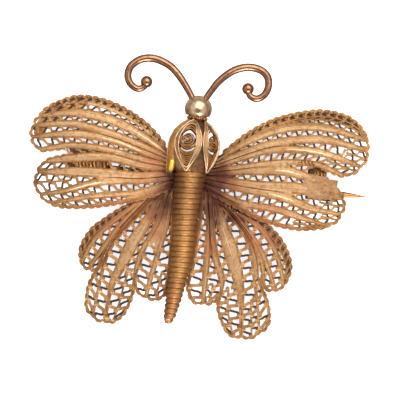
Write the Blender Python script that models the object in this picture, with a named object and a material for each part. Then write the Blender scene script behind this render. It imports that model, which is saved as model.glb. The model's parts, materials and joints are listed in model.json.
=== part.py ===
"""A gilt filigree butterfly brooch, lying on its back: four net wings, a petal cage thorax, a wound
abdomen, a ball head, two curled antennae, and a hinged pin with its catch behind.

Lengths are in metres. +X is the butterfly's left as it is worn (right in this view), +Y runs to the
head, +Z to the viewer. The body axis is x = 0 and the pin line is y = 0 until everything is centred.
"""

import math

import bmesh
import bpy
from mathutils import Matrix, Vector

MM = 0.001

# Clearances
gap = 0.3 * MM
swing_gap = 0.15 * MM
under_body_gap = 0.65 * MM

# Wings: all the lengths in the rib tables are shares of wing_reach
wing_reach = 25.0 * MM
wing_wall = 0.65 * MM
rib_crest = 0.35 * MM
net_web = 0.6 * MM
forewing_root_height = 2.6 * MM
forewing_dome = 1.9 * MM
forewing_front_droop = 2.3 * MM
forewing_back_droop = 1.3 * MM
hindwing_root_height = 2.2 * MM

# Body
head_radius = 2.18 * MM
collar_radius = 1.9 * MM
collar_length = 0.4 * MM
neck_share = 0.52
thorax_half_width = 4.15 * MM
thorax_half_depth = 3.65 * MM
thorax_length = 8.25 * MM
thorax_wall = 0.6 * MM
abdomen_radius = 2.4 * MM
abdomen_length = 24.0 * MM
ring_depth = 0.22 * MM
ring_pitch = 0.8 * MM
thorax_tail_y = 0.8 * MM

# Antennae: the lengths in their tables are shares of antenna_reach
antenna_reach = 10.0 * MM
antenna_wire_radius = 0.47 * MM
antenna_ball_radius = 0.95 * MM

# Pin, hinge and catch
stem_radius = 0.45 * MM
stem_height = 1.3 * MM
stem_overhang = 5.0 * MM
stem_taper = 4.2 * MM
half_way_taper = 0.8
stem_tip_radius = 0.07 * MM
path_tilt = math.radians(20)
eye_radius = 1.0 * MM
eye_bore = 0.6 * MM
eye_width = 0.85 * MM
rivet_radius = 0.35 * MM
ear_wall = 0.4 * MM
ear_length = 2.2 * MM
plate_wall = 0.5 * MM
hinge_length = 6.0 * MM
hinge_share = -0.68
catch_share = 0.745
catch_length = 4.9 * MM
catch_back = 1.4 * MM
catch_front = 2.1 * MM
hook_bore = 0.9 * MM
hook_wall = 0.4 * MM
roll_radius = 0.6 * MM
roll_length = 3.0 * MM
roll_reach = 1.2 * MM

# Number of sides and steps
ROUND_SIDES = 14
WIRE_SIDES = 8
CURVE_STEPS = 12
PETALS = 5

body_height = stem_height + stem_radius + under_body_gap + abdomen_radius
ear_bend = stem_height + eye_radius + swing_gap
hinge_x = hinge_share * wing_reach
catch_x = catch_share * wing_reach
head_y = thorax_tail_y + thorax_length + gap + collar_length + head_radius * neck_share

# Rib tables. A row is a rib from the front of the wing to its back: a name, its width at the root,
# the middle and the tip as shares of wing_reach, and the places that it passes through after the root,
# as (out, up) shares of wing_reach from the body axis and the pin line.
FOREWING_RIGHT = [
    ("front_border", 0.02, 0.02, 0.02,
     [(0.32, 0.29), (0.48, 0.40), (0.64, 0.465), (0.80, 0.50), (0.96, 0.482), (1.065, 0.42)]),
    ("rib_a", 0.02, 0.036, 0.03,
     [(0.32, 0.255), (0.48, 0.344), (0.64, 0.396), (0.84, 0.41), (1.095, 0.36)]),
    ("rib_b", 0.02, 0.036, 0.03,
     [(0.32, 0.192), (0.48, 0.264), (0.64, 0.308), (0.84, 0.332), (1.10, 0.296)]),
    ("rib_c", 0.02, 0.036, 0.03,
     [(0.32, 0.16), (0.48, 0.224), (0.64, 0.248), (0.84, 0.24), (1.07, 0.188)]),
    ("lobe_edge", 0.02, 0.028, 0.02,
     [(0.32, 0.10), (0.48, 0.14), (0.64, 0.168), (0.80, 0.168), (0.965, 0.122)]),
    ("rib_e", 0.02, 0.048, 0.036,
     [(0.32, 0.076), (0.48, 0.096), (0.60, 0.106), (0.72, 0.084), (0.905, 0.044)]),
    ("rib_f", 0.02, 0.056, 0.036,
     [(0.32, -0.008), (0.48, -0.01), (0.60, 0.0), (0.72, 0.004), (0.98, -0.028)]),
    ("rib_g", 0.02, 0.04, 0.02,
     [(0.32, -0.036), (0.52, -0.052), (0.64, -0.072), (0.80, -0.116), (0.975, -0.13)]),
    ("rib_h", 0.02, 0.032, 0.016,
     [(0.28, -0.116), (0.40, -0.136), (0.56, -0.144), (0.72, -0.176), (0.905, -0.212)]),
    ("back_border", 0.02, 0.02, 0.02,
     [(0.28, -0.136), (0.40, -0.186), (0.56, -0.232), (0.72, -0.25), (0.83, -0.235)]),
]
FOREWING_LEFT = [
    ("front_border", 0.02, 0.044, 0.03,
     [(0.32, 0.272), (0.48, 0.356), (0.64, 0.404), (0.80, 0.408), (0.94, 0.352)]),
    ("rib_a", 0.02, 0.048, 0.036,
     [(0.32, 0.228), (0.48, 0.30), (0.64, 0.332), (0.80, 0.332), (1.00, 0.284)]),
    ("rib_b", 0.02, 0.032, 0.028,
     [(0.32, 0.16), (0.48, 0.204), (0.64, 0.236), (0.80, 0.252), (1.03, 0.216)]),
    ("rib_c", 0.02, 0.036, 0.028,
     [(0.32, 0.124), (0.48, 0.168), (0.64, 0.188), (0.80, 0.184), (1.035, 0.14)]),
    ("lobe_edge", 0.02, 0.028, 0.02,
     [(0.32, 0.076), (0.48, 0.104), (0.64, 0.118), (0.80, 0.112), (0.97, 0.068)]),
    ("rib_e", 0.02, 0.044, 0.036,
     [(0.32, 0.04), (0.48, 0.064), (0.60, 0.06), (0.76, 0.032), (0.925, -0.008)]),
    ("rib_f", 0.02, 0.048, 0.036,
     [(0.32, -0.032), (0.48, -0.038), (0.64, -0.042), (0.80, -0.056), (0.97, -0.076)]),
    ("rib_g", 0.02, 0.03, 0.02,
     [(0.32, -0.062), (0.48, -0.08), (0.64, -0.12), (0.80, -0.184), (0.94, -0.22)]),
    ("rib_h", 0.02, 0.024, 0.016,
     [(0.32, -0.136), (0.48, -0.168), (0.64, -0.20), (0.76, -0.236), (0.87, -0.264)]),
    ("back_border", 0.02, 0.02, 0.02,
     [(0.24, -0.14), (0.38, -0.194), (0.54, -0.238), (0.68, -0.268), (0.80, -0.28)]),
]
HINDWING_RIGHT = [
    ("inner_border", 0.016, 0.02, 0.02,
     [(0.11, -0.24), (0.096, -0.40), (0.088, -0.56), (0.072, -0.69), (0.105, -0.785)]),
    ("rib_a", 0.016, 0.032, 0.024,
     [(0.138, -0.28), (0.144, -0.40), (0.152, -0.52), (0.16, -0.64), (0.168, -0.79)]),
    ("petal_1_edge", 0.016, 0.016, 0.016,
     [(0.17, -0.36), (0.208, -0.508), (0.256, -0.62), (0.276, -0.70), (0.25, -0.768)]),
    ("petal_2_inner_edge", 0.016, 0.016, 0.016,
     [(0.194, -0.36), (0.236, -0.508), (0.284, -0.632), (0.272, -0.82), (0.34, -0.965)]),
    ("rib_b", 0.03, 0.088, 0.03,
     [(0.24, -0.30), (0.32, -0.48), (0.384, -0.64), (0.42, -0.80), (0.44, -0.985)]),
    ("rib_c", 0.016, 0.02, 0.016,
     [(0.36, -0.30), (0.44, -0.44), (0.48, -0.60), (0.524, -0.78), (0.555, -0.945)]),
    ("petal_2_outer_edge", 0.016, 0.02, 0.02,
     [(0.385, -0.304), (0.472, -0.45), (0.516, -0.62), (0.585, -0.76), (0.61, -0.87)]),
    ("petal_3_inner_edge", 0.016, 0.03, 0.016,
     [(0.40, -0.318), (0.48, -0.43), (0.522, -0.53), (0.534, -0.60), (0.555, -0.655)]),
    ("rib_d", 0.016, 0.036, 0.02,
     [(0.424, -0.32), (0.504, -0.424), (0.56, -0.528), (0.60, -0.61), (0.612, -0.66)]),
    ("rib_e", 0.016, 0.028, 0.02,
     [(0.456, -0.28), (0.54, -0.384), (0.596, -0.48), (0.636, -0.56), (0.665, -0.63)]),
    ("outer_border", 0.016, 0.02, 0.02,
     [(0.46, -0.236), (0.556, -0.30), (0.64, -0.392), (0.69, -0.50), (0.692, -0.58)]),
]
HINDWING_LEFT = [
    ("inner_border", 0.016, 0.02, 0.02,
     [(0.104, -0.24), (0.096, -0.40), (0.092, -0.56), (0.088, -0.68), (0.092, -0.775)]),
    ("rib_a", 0.016, 0.024, 0.02,
     [(0.124, -0.34), (0.144, -0.44), (0.168, -0.56), (0.188, -0.68), (0.20, -0.795)]),
    ("petal_1_edge", 0.016, 0.016, 0.016,
     [(0.168, -0.32), (0.236, -0.48), (0.26, -0.58), (0.282, -0.68), (0.266, -0.754)]),
    ("petal_2_inner_edge", 0.016, 0.016, 0.016,
     [(0.192, -0.32), (0.256, -0.48), (0.284, -0.592), (0.292, -0.80), (0.334, -0.935)]),
    ("rib_b", 0.03, 0.088, 0.03,
     [(0.252, -0.34), (0.32, -0.48), (0.376, -0.62), (0.428, -0.76), (0.45, -0.985)]),
    ("rib_c", 0.016, 0.016, 0.016,
     [(0.352, -0.344), (0.436, -0.468), (0.48, -0.58), (0.508, -0.76), (0.53, -0.958)]),
    ("petal_2_outer_edge", 0.016, 0.016, 0.02,
     [(0.372, -0.348), (0.456, -0.472), (0.50, -0.60), (0.572, -0.76), (0.58, -0.90)]),
    ("petal_3_inner_edge", 0.016, 0.02, 0.016,
     [(0.388, -0.348), (0.468, -0.476), (0.508, -0.568), (0.518, -0.62), (0.535, -0.655)]),
    ("rib_d", 0.016, 0.04, 0.02,
     [(0.412, -0.356), (0.488, -0.48), (0.536, -0.568), (0.568, -0.624), (0.584, -0.66)]),
    ("rib_e", 0.016, 0.024, 0.02,
     [(0.448, -0.344), (0.528, -0.44), (0.58, -0.528), (0.608, -0.592), (0.628, -0.636)]),
    ("outer_border", 0.016, 0.02, 0.02,
     [(0.412, -0.26), (0.504, -0.34), (0.584, -0.42), (0.636, -0.52), (0.648, -0.584)]),
]

# Nets between a rib and the next one: the first and the last of the openings that are pierced, counted
# from the root, and whether the wing is notched there, open from past the last one to its edge.
FOREWING_OPENINGS = 5
FOREWING_NETS = [
    (0, 4, False), (0, 4, False), (2, 4, False), (0, 4, False), (2, 2, True),
    (0, 2, False), (3, 4, False), (0, 4, False), (1, 4, False),
]
HINDWING_OPENINGS = 5
HINDWING_NETS = [
    (1, 4, False), (2, 4, False), (5, 3, True), (1, 4, False), (0, 4, False),
    (3, 4, False), (5, 3, True), (3, 4, False), (1, 4, False), (1, 4, False),
]
FIRST_OPENING = 0.15
LAST_OPENING = 0.955

# Abdomen: share of its length, sideways place and radius as shares of abdomen_radius, and how far the
# axis has sunk, as a share of the same radius.
ABDOMEN_SECTIONS = [
    (0.0, -0.04, 1.0, 0.0),
    (0.25, -0.04, 0.89, 0.02),
    (0.40, 0.0, 0.83, 0.06),
    (0.52, -0.01, 0.80, 0.12),
    (0.60, -0.04, 0.75, 0.18),
    (0.68, -0.10, 0.65, 0.24),
    (0.85, -0.22, 0.50, 0.42),
    (0.96, -0.36, 0.38, 0.58),
    (1.0, -0.40, 0.2, 0.62),
]

# Thorax: share of its length from the head, and radius as a share of its greatest.
THORAX_SECTIONS = [
    (0.0, 0.42), (0.08, 0.62), (0.2, 0.83), (0.36, 0.97), (0.5, 1.0), (0.64, 0.96), (0.72, 0.9),
    (0.86, 0.77), (1.0, 0.62),
]
FIRST_PETAL_ROW = 1
LAST_PETAL_ROW = 6
PETAL_TURN = math.radians(-17)
PETAL_HALF_ANGLE = math.radians(24)
PETAL_POINT_ANGLE = math.radians(5)

# Antennae: places that the wire passes through, as shares of antenna_reach out from the body axis and
# up from the head's centre, the last of them the middle of the ball.
ANTENNA_LEFT = [
    (0.23, 0.33), (0.37, 0.50), (0.53, 0.635), (0.72, 0.71), (0.88, 0.72), (1.02, 0.675), (1.14, 0.57),
    (1.18, 0.44), (1.15, 0.32), (1.07, 0.24), (0.98, 0.215), (0.90, 0.26), (0.87, 0.34),
]
ANTENNA_RIGHT = [
    (0.17, 0.31), (0.27, 0.47), (0.43, 0.63), (0.60, 0.725), (0.77, 0.755), (0.93, 0.725), (1.04, 0.63),
    (1.07, 0.49), (1.03, 0.36), (0.95, 0.285), (0.87, 0.27), (0.79, 0.31), (0.75, 0.41),
]


def material(name, colour, roughness):
    """A metal with the piece's own colour."""
    made = bpy.data.materials.new(name)
    made.use_nodes = True
    shader = made.node_tree.nodes["Principled BSDF"]
    shader.inputs["Base Color"].default_value = (*colour, 1.0)
    shader.inputs["Metallic"].default_value = 1.0
    shader.inputs["Roughness"].default_value = roughness
    return made


def link(name, mesh, finish, parent):
    """A named object for a mesh, with its material, under the brooch's own empty."""
    made = bpy.data.objects.new(name, mesh)
    bpy.context.collection.objects.link(made)
    mesh.materials.append(finish)
    made.parent = parent
    return made


def mesh_from(name, bm, smooth_angle=math.radians(50)):
    """Turns a closed bmesh into a mesh whose faces point out, shaded smooth but for sharp edges."""
    bmesh.ops.recalc_face_normals(bm, faces=bm.faces)
    bmesh.ops.triangulate(bm, faces=bm.faces)
    mesh = bpy.data.meshes.new(name)
    bm.to_mesh(mesh)
    bm.free()
    mesh.shade_smooth()
    mesh.set_sharp_from_angle(angle=smooth_angle)
    return mesh


def smooth_points(points, shares):
    """Places at the given shares of the length of a smooth curve through the points."""
    points = [Vector(p) for p in points]
    ends = [points[0] * 2 - points[1]] + points + [points[-1] * 2 - points[-2]]
    fine = []
    for a, b, c, d in zip(ends, ends[1:], ends[2:], ends[3:]):
        for step in range(CURVE_STEPS):
            t = step / CURVE_STEPS
            fine.append(0.5 * (b * 2 + (c - a) * t + (a * 2 - b * 5 + c * 4 - d) * t * t
                               + (b * 3 - a - c * 3 + d) * t ** 3))
    fine.append(points[-1])
    lengths = [0.0]
    for a, b in zip(fine, fine[1:]):
        lengths.append(lengths[-1] + (b - a).length)
    placed = []
    for share in shares:
        wanted = share * lengths[-1]
        k = next((i for i in range(1, len(fine)) if lengths[i] >= wanted), len(fine) - 1)
        part = (wanted - lengths[k - 1]) / (lengths[k] - lengths[k - 1])
        placed.append(fine[k - 1].lerp(fine[k], part))
    return placed


def between(table, share, column):
    """A column of a table, read at a share of the first column by straight lines."""
    for low, high in zip(table, table[1:]):
        if share <= high[0]:
            part = (share - low[0]) / (high[0] - low[0])
            return low[column] + (high[column] - low[column]) * part
    return table[-1][column]


def thorax_width_at(y):
    """Half the thorax's width at a height up the body."""
    share = min(max((thorax_tail_y + thorax_length - y) / thorax_length, 0.0), 1.0)
    return between(THORAX_SECTIONS, share, 1) * thorax_half_width


def root_x(y):
    """Where a wing starts beside the body, clear of the thorax above and of the abdomen below it."""
    beside_abdomen = abdomen_radius + gap / 2
    if y < thorax_tail_y:
        return beside_abdomen
    return max(beside_abdomen, thorax_width_at(y) + gap / 2)


def forewing_underside(x, y):
    """Height of a forewing's underside: a dome along its ridge that droops to the front and back."""
    out = abs(x) / wing_reach
    ridge = (0.02 + 0.1 * out) * wing_reach
    crest = forewing_root_height + forewing_dome * (1 - ((out - 0.68) / 0.52) ** 2)
    if y > ridge:
        return crest - forewing_front_droop * ((y - ridge) / (0.37 * wing_reach)) ** 2.5
    return crest - forewing_back_droop * ((ridge - y) / (0.39 * wing_reach)) ** 2


def hindwing_underside(x, y):
    """Height of a hindwing's underside: a low dome from its root that ends on the table at its tip."""
    tip_distance = math.hypot(0.33, 0.885)
    share = math.hypot(abs(x) / wing_reach - 0.12, y / wing_reach + 0.1) / tip_distance
    return hindwing_root_height * max(1 + 1.5 * share - 2.5 * share * share, 0.0)


def net_stations(openings, length):
    """Shares of a rib's length where the pierced openings start and end."""
    web = net_web / length
    period = (LAST_OPENING - FIRST_OPENING + web) / openings
    shares = [0.0, FIRST_OPENING / 2]
    for count in range(openings):
        start = FIRST_OPENING + count * period
        shares += [start, start + period - web]
    return shares + [1.0]


def wing_grid(side, ribs, roots, shares):
    """Rows of places on the wing in plan: the front edge, the crest and the back edge of each rib."""
    lines = []
    for (_, _, _, _, points), root in zip(ribs, roots):
        route = [root] + [(out * wing_reach, up * wing_reach) for out, up in points]
        lines.append(smooth_points([(x * side, y, 0.0) for x, y in route], shares))
    rows = []
    for i, (_, at_root, at_middle, at_tip, _) in enumerate(ribs):
        widths = [(0.0, at_root), (0.45, at_middle), (0.75, at_middle), (1.0, at_tip)]
        front, crest, back = [], [], []
        for k, share in enumerate(shares):
            half = between(widths, share, 1) * wing_reach / 2
            here = lines[i][k]
            before = lines[i - 1][k] if i else here * 2 - lines[1][k]
            after = lines[i + 1][k] if i + 1 < len(ribs) else here * 2 - lines[i - 1][k]
            for row, other in ((front, before), (back, after)):
                step = other - here
                row.append(here + step * min(0.45, half / step.length))
            crest.append(here)
        rows += [front, crest, back]
    return rows


def wing(name, side, ribs, roots, openings, nets, underside, finish, parent):
    """A wing: solid ribs with a raised crest, and the net between them pierced through."""
    shares = net_stations(openings, 0.85 * wing_reach)
    rows = wing_grid(side, ribs, roots, shares)
    last = len(shares) - 2
    present = set()
    for r in range(len(rows) - 1):
        for k in range(len(shares) - 1):
            present.add((r, k))
    for i, (first, final, notched) in enumerate(nets):
        for count in range(first, final + 1):
            present.discard((3 * i + 2, 2 + 2 * count))
        if notched:
            for k in range(2 + 2 * (final + 1), last + 1):
                present.discard((3 * i + 2, k))
    bm = bmesh.new()
    low, high = {}, {}
    for r, k in sorted(present):
        for corner in ((r, k), (r + 1, k), (r + 1, k + 1), (r, k + 1)):
            if corner in low:
                continue
            x, y, _ = rows[corner[0]][corner[1]]
            base = underside(x, y)
            raised = rib_crest if corner[0] % 3 == 1 and 0 < corner[1] <= last else 0.0
            low[corner] = bm.verts.new((x, y, base))
            high[corner] = bm.verts.new((x, y, base + wing_wall + raised))
    for r, k in sorted(present):
        corners = [(r, k), (r, k + 1), (r + 1, k + 1), (r + 1, k)]
        bm.faces.new([high[c] for c in corners])
        bm.faces.new([low[c] for c in reversed(corners)])
        sides = {(0, -1): (0, 1), (0, 1): (2, 3), (1, 0): (1, 2), (-1, 0): (3, 0)}
        for (along, across), (a, b) in sides.items():
            if (r + across, k + along) not in present:
                first, second = corners[a], corners[b]
                bm.faces.new([high[first], low[first], low[second], high[second]])
    return link(name, mesh_from(name, bm), finish, parent)


def rings(name, loops, finish, parent):
    """A closed solid through loops of points, all with the same number of sides, capped flat."""
    bm = bmesh.new()
    made = [[bm.verts.new(p) for p in loop] for loop in loops]
    for a, b in zip(made, made[1:]):
        for k in range(len(a)):
            following = (k + 1) % len(a)
            bm.faces.new([a[k], a[following], b[following], b[k]])
    bm.faces.new(list(reversed(made[0])))
    bm.faces.new(made[-1])
    return link(name, mesh_from(name, bm), finish, parent)


def loop_round_y(centre, across, deep, sides):
    """An upright oval of points round a line along Y."""
    turns = [2 * math.pi * k / sides for k in range(sides)]
    return [(centre[0] + across * math.sin(a), centre[1], centre[2] + deep * math.cos(a)) for a in turns]


def head(finish, parent):
    """A polished ball with a turned collar that meets the thorax."""
    collar_start = thorax_tail_y + thorax_length + gap
    profile = [
        (collar_start, collar_radius * 0.9),
        (collar_start + collar_length / 2, collar_radius),
        (collar_start + collar_length, collar_radius * 0.93),
    ]
    steps = 9
    start = math.acos((head_y - collar_start - collar_length * 1.2) / head_radius)
    for k in range(steps):
        turn = start + (math.pi * 0.96 - start) * k / (steps - 1)
        profile.append((head_y - head_radius * math.cos(turn), head_radius * math.sin(turn)))
    loops = [loop_round_y((0, y, body_height), r, r, ROUND_SIDES) for y, r in profile]
    return rings("head", loops, finish, parent)


def abdomen(finish, parent):
    """A wound tube that tapers and leans to its tail, with a ridge for each turn of the winding."""
    start = thorax_tail_y - gap
    turns = round(abdomen_length / ring_pitch)
    loops = []
    for k in range(2 * turns + 1):
        share = k / (2 * turns)
        _, lean, wide, sink = (between(ABDOMEN_SECTIONS, share, c) if c else share for c in range(4))
        radius = wide * abdomen_radius - (0 if k % 2 else ring_depth)
        centre = (lean * abdomen_radius, start - share * abdomen_length, body_height - sink * abdomen_radius)
        loops.append(loop_round_y(centre, radius, radius, ROUND_SIDES))
    return rings("abdomen", loops, finish, parent)


def thorax(finish, parent):
    """A bud of five leaf frames round the body axis: a thin shell with a leaf opening in each."""
    pitch = 2 * math.pi / PETALS
    outer, inner = [], []
    for row, (share, wide) in enumerate(THORAX_SECTIONS):
        y = thorax_tail_y + thorax_length * (1 - share)
        along = (row - FIRST_PETAL_ROW) / (LAST_PETAL_ROW - FIRST_PETAL_ROW)
        opened = math.sin(math.pi * min(max(along, 0.0), 1.0)) ** 0.8
        half = PETAL_POINT_ANGLE + (PETAL_HALF_ANGLE - PETAL_POINT_ANGLE) * opened
        for loop, wall in ((outer, 0.0), (inner, thorax_wall)):
            across = wide * thorax_half_width - wall
            deep = wide * thorax_half_depth - wall
            points = []
            for petal in range(PETALS):
                middle = PETAL_TURN + petal * pitch
                for turn in (middle - pitch / 2, middle - half, middle + half):
                    points.append((across * math.sin(turn), y, body_height + deep * math.cos(turn)))
            loop.append(points)
    count = 3 * PETALS
    present = set()
    for row in range(len(THORAX_SECTIONS) - 1):
        for k in range(count):
            if not (k % 3 == 1 and FIRST_PETAL_ROW <= row < LAST_PETAL_ROW):
                present.add((row, k))
    bm = bmesh.new()
    skins = [[[bm.verts.new(p) for p in points] for points in loop] for loop in (outer, inner)]
    for row, k in sorted(present):
        corners = [(row, k), (row, (k + 1) % count), (row + 1, (k + 1) % count), (row + 1, k)]
        bm.faces.new([skins[0][r][c] for r, c in corners])
        bm.faces.new([skins[1][r][c] for r, c in reversed(corners)])
        around = ((row - 1, k), (row, (k + 1) % count), (row + 1, k), (row, (k - 1) % count))
        for i, neighbour in enumerate(around):
            if neighbour not in present:
                (ra, ca), (rb, cb) = corners[i], corners[(i + 1) % 4]
                bm.faces.new([skins[0][ra][ca], skins[1][ra][ca], skins[1][rb][cb], skins[0][rb][cb]])
    return link("thorax", mesh_from("thorax", bm), finish, parent)


def antenna(name, side, points, finish, parent):
    """A wire that curls from the head to a ball at its end."""
    centre = Vector((0, head_y, body_height))
    route = [centre + Vector((out * side, up, 0)) * antenna_reach for out, up in points]
    start = centre + (route[0] - centre).normalized() * (head_radius + gap)
    ball = route[-1]
    steps = 26
    path = smooth_points([start] + route, [k / steps for k in range(steps + 1)])
    path = [p for p in path if (p - ball).length > antenna_ball_radius * 1.05]
    radii = [antenna_wire_radius] * len(path)
    into = (ball - path[-1]).normalized()
    first = math.asin(antenna_wire_radius / antenna_ball_radius)
    ball_steps = 6
    for k in range(ball_steps):
        turn = first + (math.pi * 0.95 - first) * k / (ball_steps - 1)
        path.append(ball - into * antenna_ball_radius * math.cos(turn))
        radii.append(antenna_ball_radius * math.sin(turn))
    loops = []
    for k, (place, radius) in enumerate(zip(path, radii)):
        ahead = (path[min(k + 1, len(path) - 1)] - path[max(k - 1, 0)]).normalized()
        across = ahead.cross(Vector((0, 0, 1)))
        turns = [2 * math.pi * i / WIRE_SIDES for i in range(WIRE_SIDES)]
        loops.append([place + (across * math.cos(a) + Vector((0, 0, 1)) * math.sin(a)) * radius for a in turns])
    return rings(name, loops, finish, parent)


def box(name, low, high, finish, parent):
    """A block between two corners."""
    loops = []
    for x in (low[0], high[0]):
        loops.append([(x, low[1], low[2]), (x, high[1], low[2]), (x, high[1], high[2]), (x, low[1], high[2])])
    return rings(name, loops, finish, parent)


def add_to(base, other):
    """Fuses another closed shape into the base, which keeps its own name."""
    joint = base.modifiers.new("with_" + other.name, "BOOLEAN")
    joint.operation = "UNION"
    joint.solver = "EXACT"
    joint.object = other
    other.hide_render = True
    other.display_type = "WIRE"


def tilted(x, y, z):
    """A place given along the pin, along its rivet and up between the hinge's ears, in the part."""
    turn = Matrix.Rotation(-path_tilt, 3, "X")
    return Vector((hinge_x, 0, stem_height)) + turn @ Vector((x, y, z))


def bar_along_rivet(name, radius, bore, half_length, finish, parent):
    """A round bar, or with a bore a ring, along the rivet's line."""
    turns = [2 * math.pi * k / ROUND_SIDES for k in range(ROUND_SIDES)]
    ends = []
    for y in (-half_length, half_length):
        ends.append([tilted(radius * math.cos(a), y, radius * math.sin(a)) for a in turns])
    if not bore:
        return rings(name, ends, finish, parent)
    bm = bmesh.new()
    inner = []
    for y in (-half_length, half_length):
        inner.append([tilted(bore * math.cos(a), y, bore * math.sin(a)) for a in turns])
    loops = [[bm.verts.new(p) for p in loop] for loop in (ends[0], ends[1], inner[1], inner[0])]
    for a, b in zip(loops, loops[1:] + loops[:1]):
        for k in range(ROUND_SIDES):
            following = (k + 1) % ROUND_SIDES
            bm.faces.new([a[k], a[following], b[following], b[k]])
    return link(name, mesh_from(name, bm), finish, parent)


def hinge_top():
    """Height of the hinge plate's upper face, a gap below the lowest of the wing above it."""
    places = [(hinge_x + along * hinge_length / 2, across * ear_length) for along in (-1, 0, 1) for across in (0, 1)]
    return min(forewing_underside(x, y) for x, y in places) - gap


def ear_side(y_local, z):
    """Y of a face of an ear at a height: it leans with the pin's path, and is upright above the eye."""
    lean = min(z, ear_bend) - stem_height
    return (y_local + lean * math.sin(path_tilt)) / math.cos(path_tilt)


def hinge(finish, parent):
    """A plate below the left forewing with two leaning ears and the rivet between them."""
    top = hinge_top()
    ear_inner = eye_width / 2 + gap
    ear_outer = ear_inner + ear_wall
    foot_y = ear_side(-ear_outer, top), ear_side(ear_outer, top)
    half = hinge_length / 2
    base = box("hinge", (hinge_x - half, foot_y[0], top - plate_wall), (hinge_x + half, foot_y[1], top),
               finish, parent)
    buried = top - plate_wall / 2
    for name, low, high in (("ear_front", ear_inner, ear_outer), ("ear_back", -ear_outer, -ear_inner)):
        outline = [(ear_side(low, z), z) for z in (buried, ear_bend, 0)]
        outline += [(ear_side(high, z), z) for z in (0, ear_bend, buried)]
        loops = [[(x, y, z) for y, z in outline] for x in (hinge_x - ear_length / 2, hinge_x + ear_length / 2)]
        add_to(base, rings(name, loops, finish, parent))
    add_to(base, bar_along_rivet("rivet", rivet_radius, 0, ear_inner + ear_wall / 2, finish, parent))
    return base


def catch(finish, parent):
    """A plate below the right forewing, the hook that the pin rests in and a rolled front edge."""
    low_x, high_x = catch_x, catch_x + catch_length
    corners = [(x, y) for x in (low_x, high_x) for y in (-catch_back, 0, catch_front + roll_reach)]
    top = min(forewing_underside(x, y) for x, y in corners) - gap
    bottom = top - plate_wall
    hook_outer = hook_bore + hook_wall
    lip = math.pi + path_tilt - math.asin((stem_radius + swing_gap) / hook_bore)
    steps = 7
    turns = [math.pi / 2 + (lip - math.pi / 2) * k / steps for k in range(steps + 1)]
    profile = [(-catch_back, bottom), (hook_bore, bottom)]
    profile += [(hook_bore * math.sin(a), stem_height + hook_bore * math.cos(a)) for a in turns]
    profile += [(hook_outer * math.sin(a), stem_height + hook_outer * math.cos(a)) for a in reversed(turns)]
    profile += [(hook_outer, bottom), (catch_front, bottom), (catch_front, top), (-catch_back, top)]
    base = rings("catch", [[(x, y, z) for y, z in profile] for x in (low_x, high_x)], finish, parent)
    roll_y = catch_front + roll_reach
    roll_z = top - roll_radius
    add_to(base, box("roll_tab", (low_x + gap, catch_front - plate_wall, bottom + gap / 2),
                     (low_x + roll_length - gap, roll_y, top - gap / 2), finish, parent))
    circle = [2 * math.pi * (k + 0.5) / WIRE_SIDES for k in range(WIRE_SIDES)]
    roll = [[(x, roll_y + roll_radius * math.cos(a), roll_z + roll_radius * math.sin(a)) for a in circle]
            for x in (low_x, low_x + roll_length)]
    add_to(base, rings("roll", roll, finish, parent))
    return base


def pin_stem(finish, parent):
    """The straight pin, with its flat eye on the rivet and a long taper to its point."""
    tip = catch_x + catch_length + stem_overhang - hinge_x
    stations = [
        ((eye_radius + eye_bore) / 2 - 0.05 * MM, stem_radius),
        (tip - stem_taper, stem_radius),
        (tip - stem_taper / 2, stem_radius * half_way_taper),
        (tip, stem_tip_radius),
    ]
    turns = [2 * math.pi * k / WIRE_SIDES for k in range(WIRE_SIDES)]
    loops = [[tilted(x, r * math.cos(a), r * math.sin(a)) for a in turns] for x, r in stations]
    base = rings("pin_stem", loops, finish, parent)
    add_to(base, bar_along_rivet("eye", eye_radius, eye_bore, eye_width / 2, finish, parent))
    return base


def forewing_roots():
    """Where a forewing's ribs start, from the front to the back of its root."""
    ups = [0.156, 0.132, 0.108, 0.084, 0.06, 0.036, 0.012, -0.014, -0.042, -0.068]
    return [(root_x(up * wing_reach), up * wing_reach) for up in ups]


def hindwing_roots():
    """Where a hindwing's ribs start, from beside the abdomen along the back of the forewing."""
    first = Vector((abdomen_radius - gap, -0.104 * wing_reach))
    step = Vector((0.0235 * wing_reach, -0.0087 * wing_reach))
    return [tuple(first + step * k) for k in range(len(HINDWING_RIGHT))]


def centre_on_base(pieces, parent):
    """Moves the brooch so that the middle of its outline and its lowest point are the origin."""
    bpy.context.view_layer.update()
    places = [o.matrix_world @ v.co for o in pieces for v in o.data.vertices]
    low = [min(p[k] for p in places) for k in range(3)]
    high = [max(p[k] for p in places) for k in range(3)]
    parent.location = (-(low[0] + high[0]) / 2, -(low[1] + high[1]) / 2, -low[2])


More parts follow.
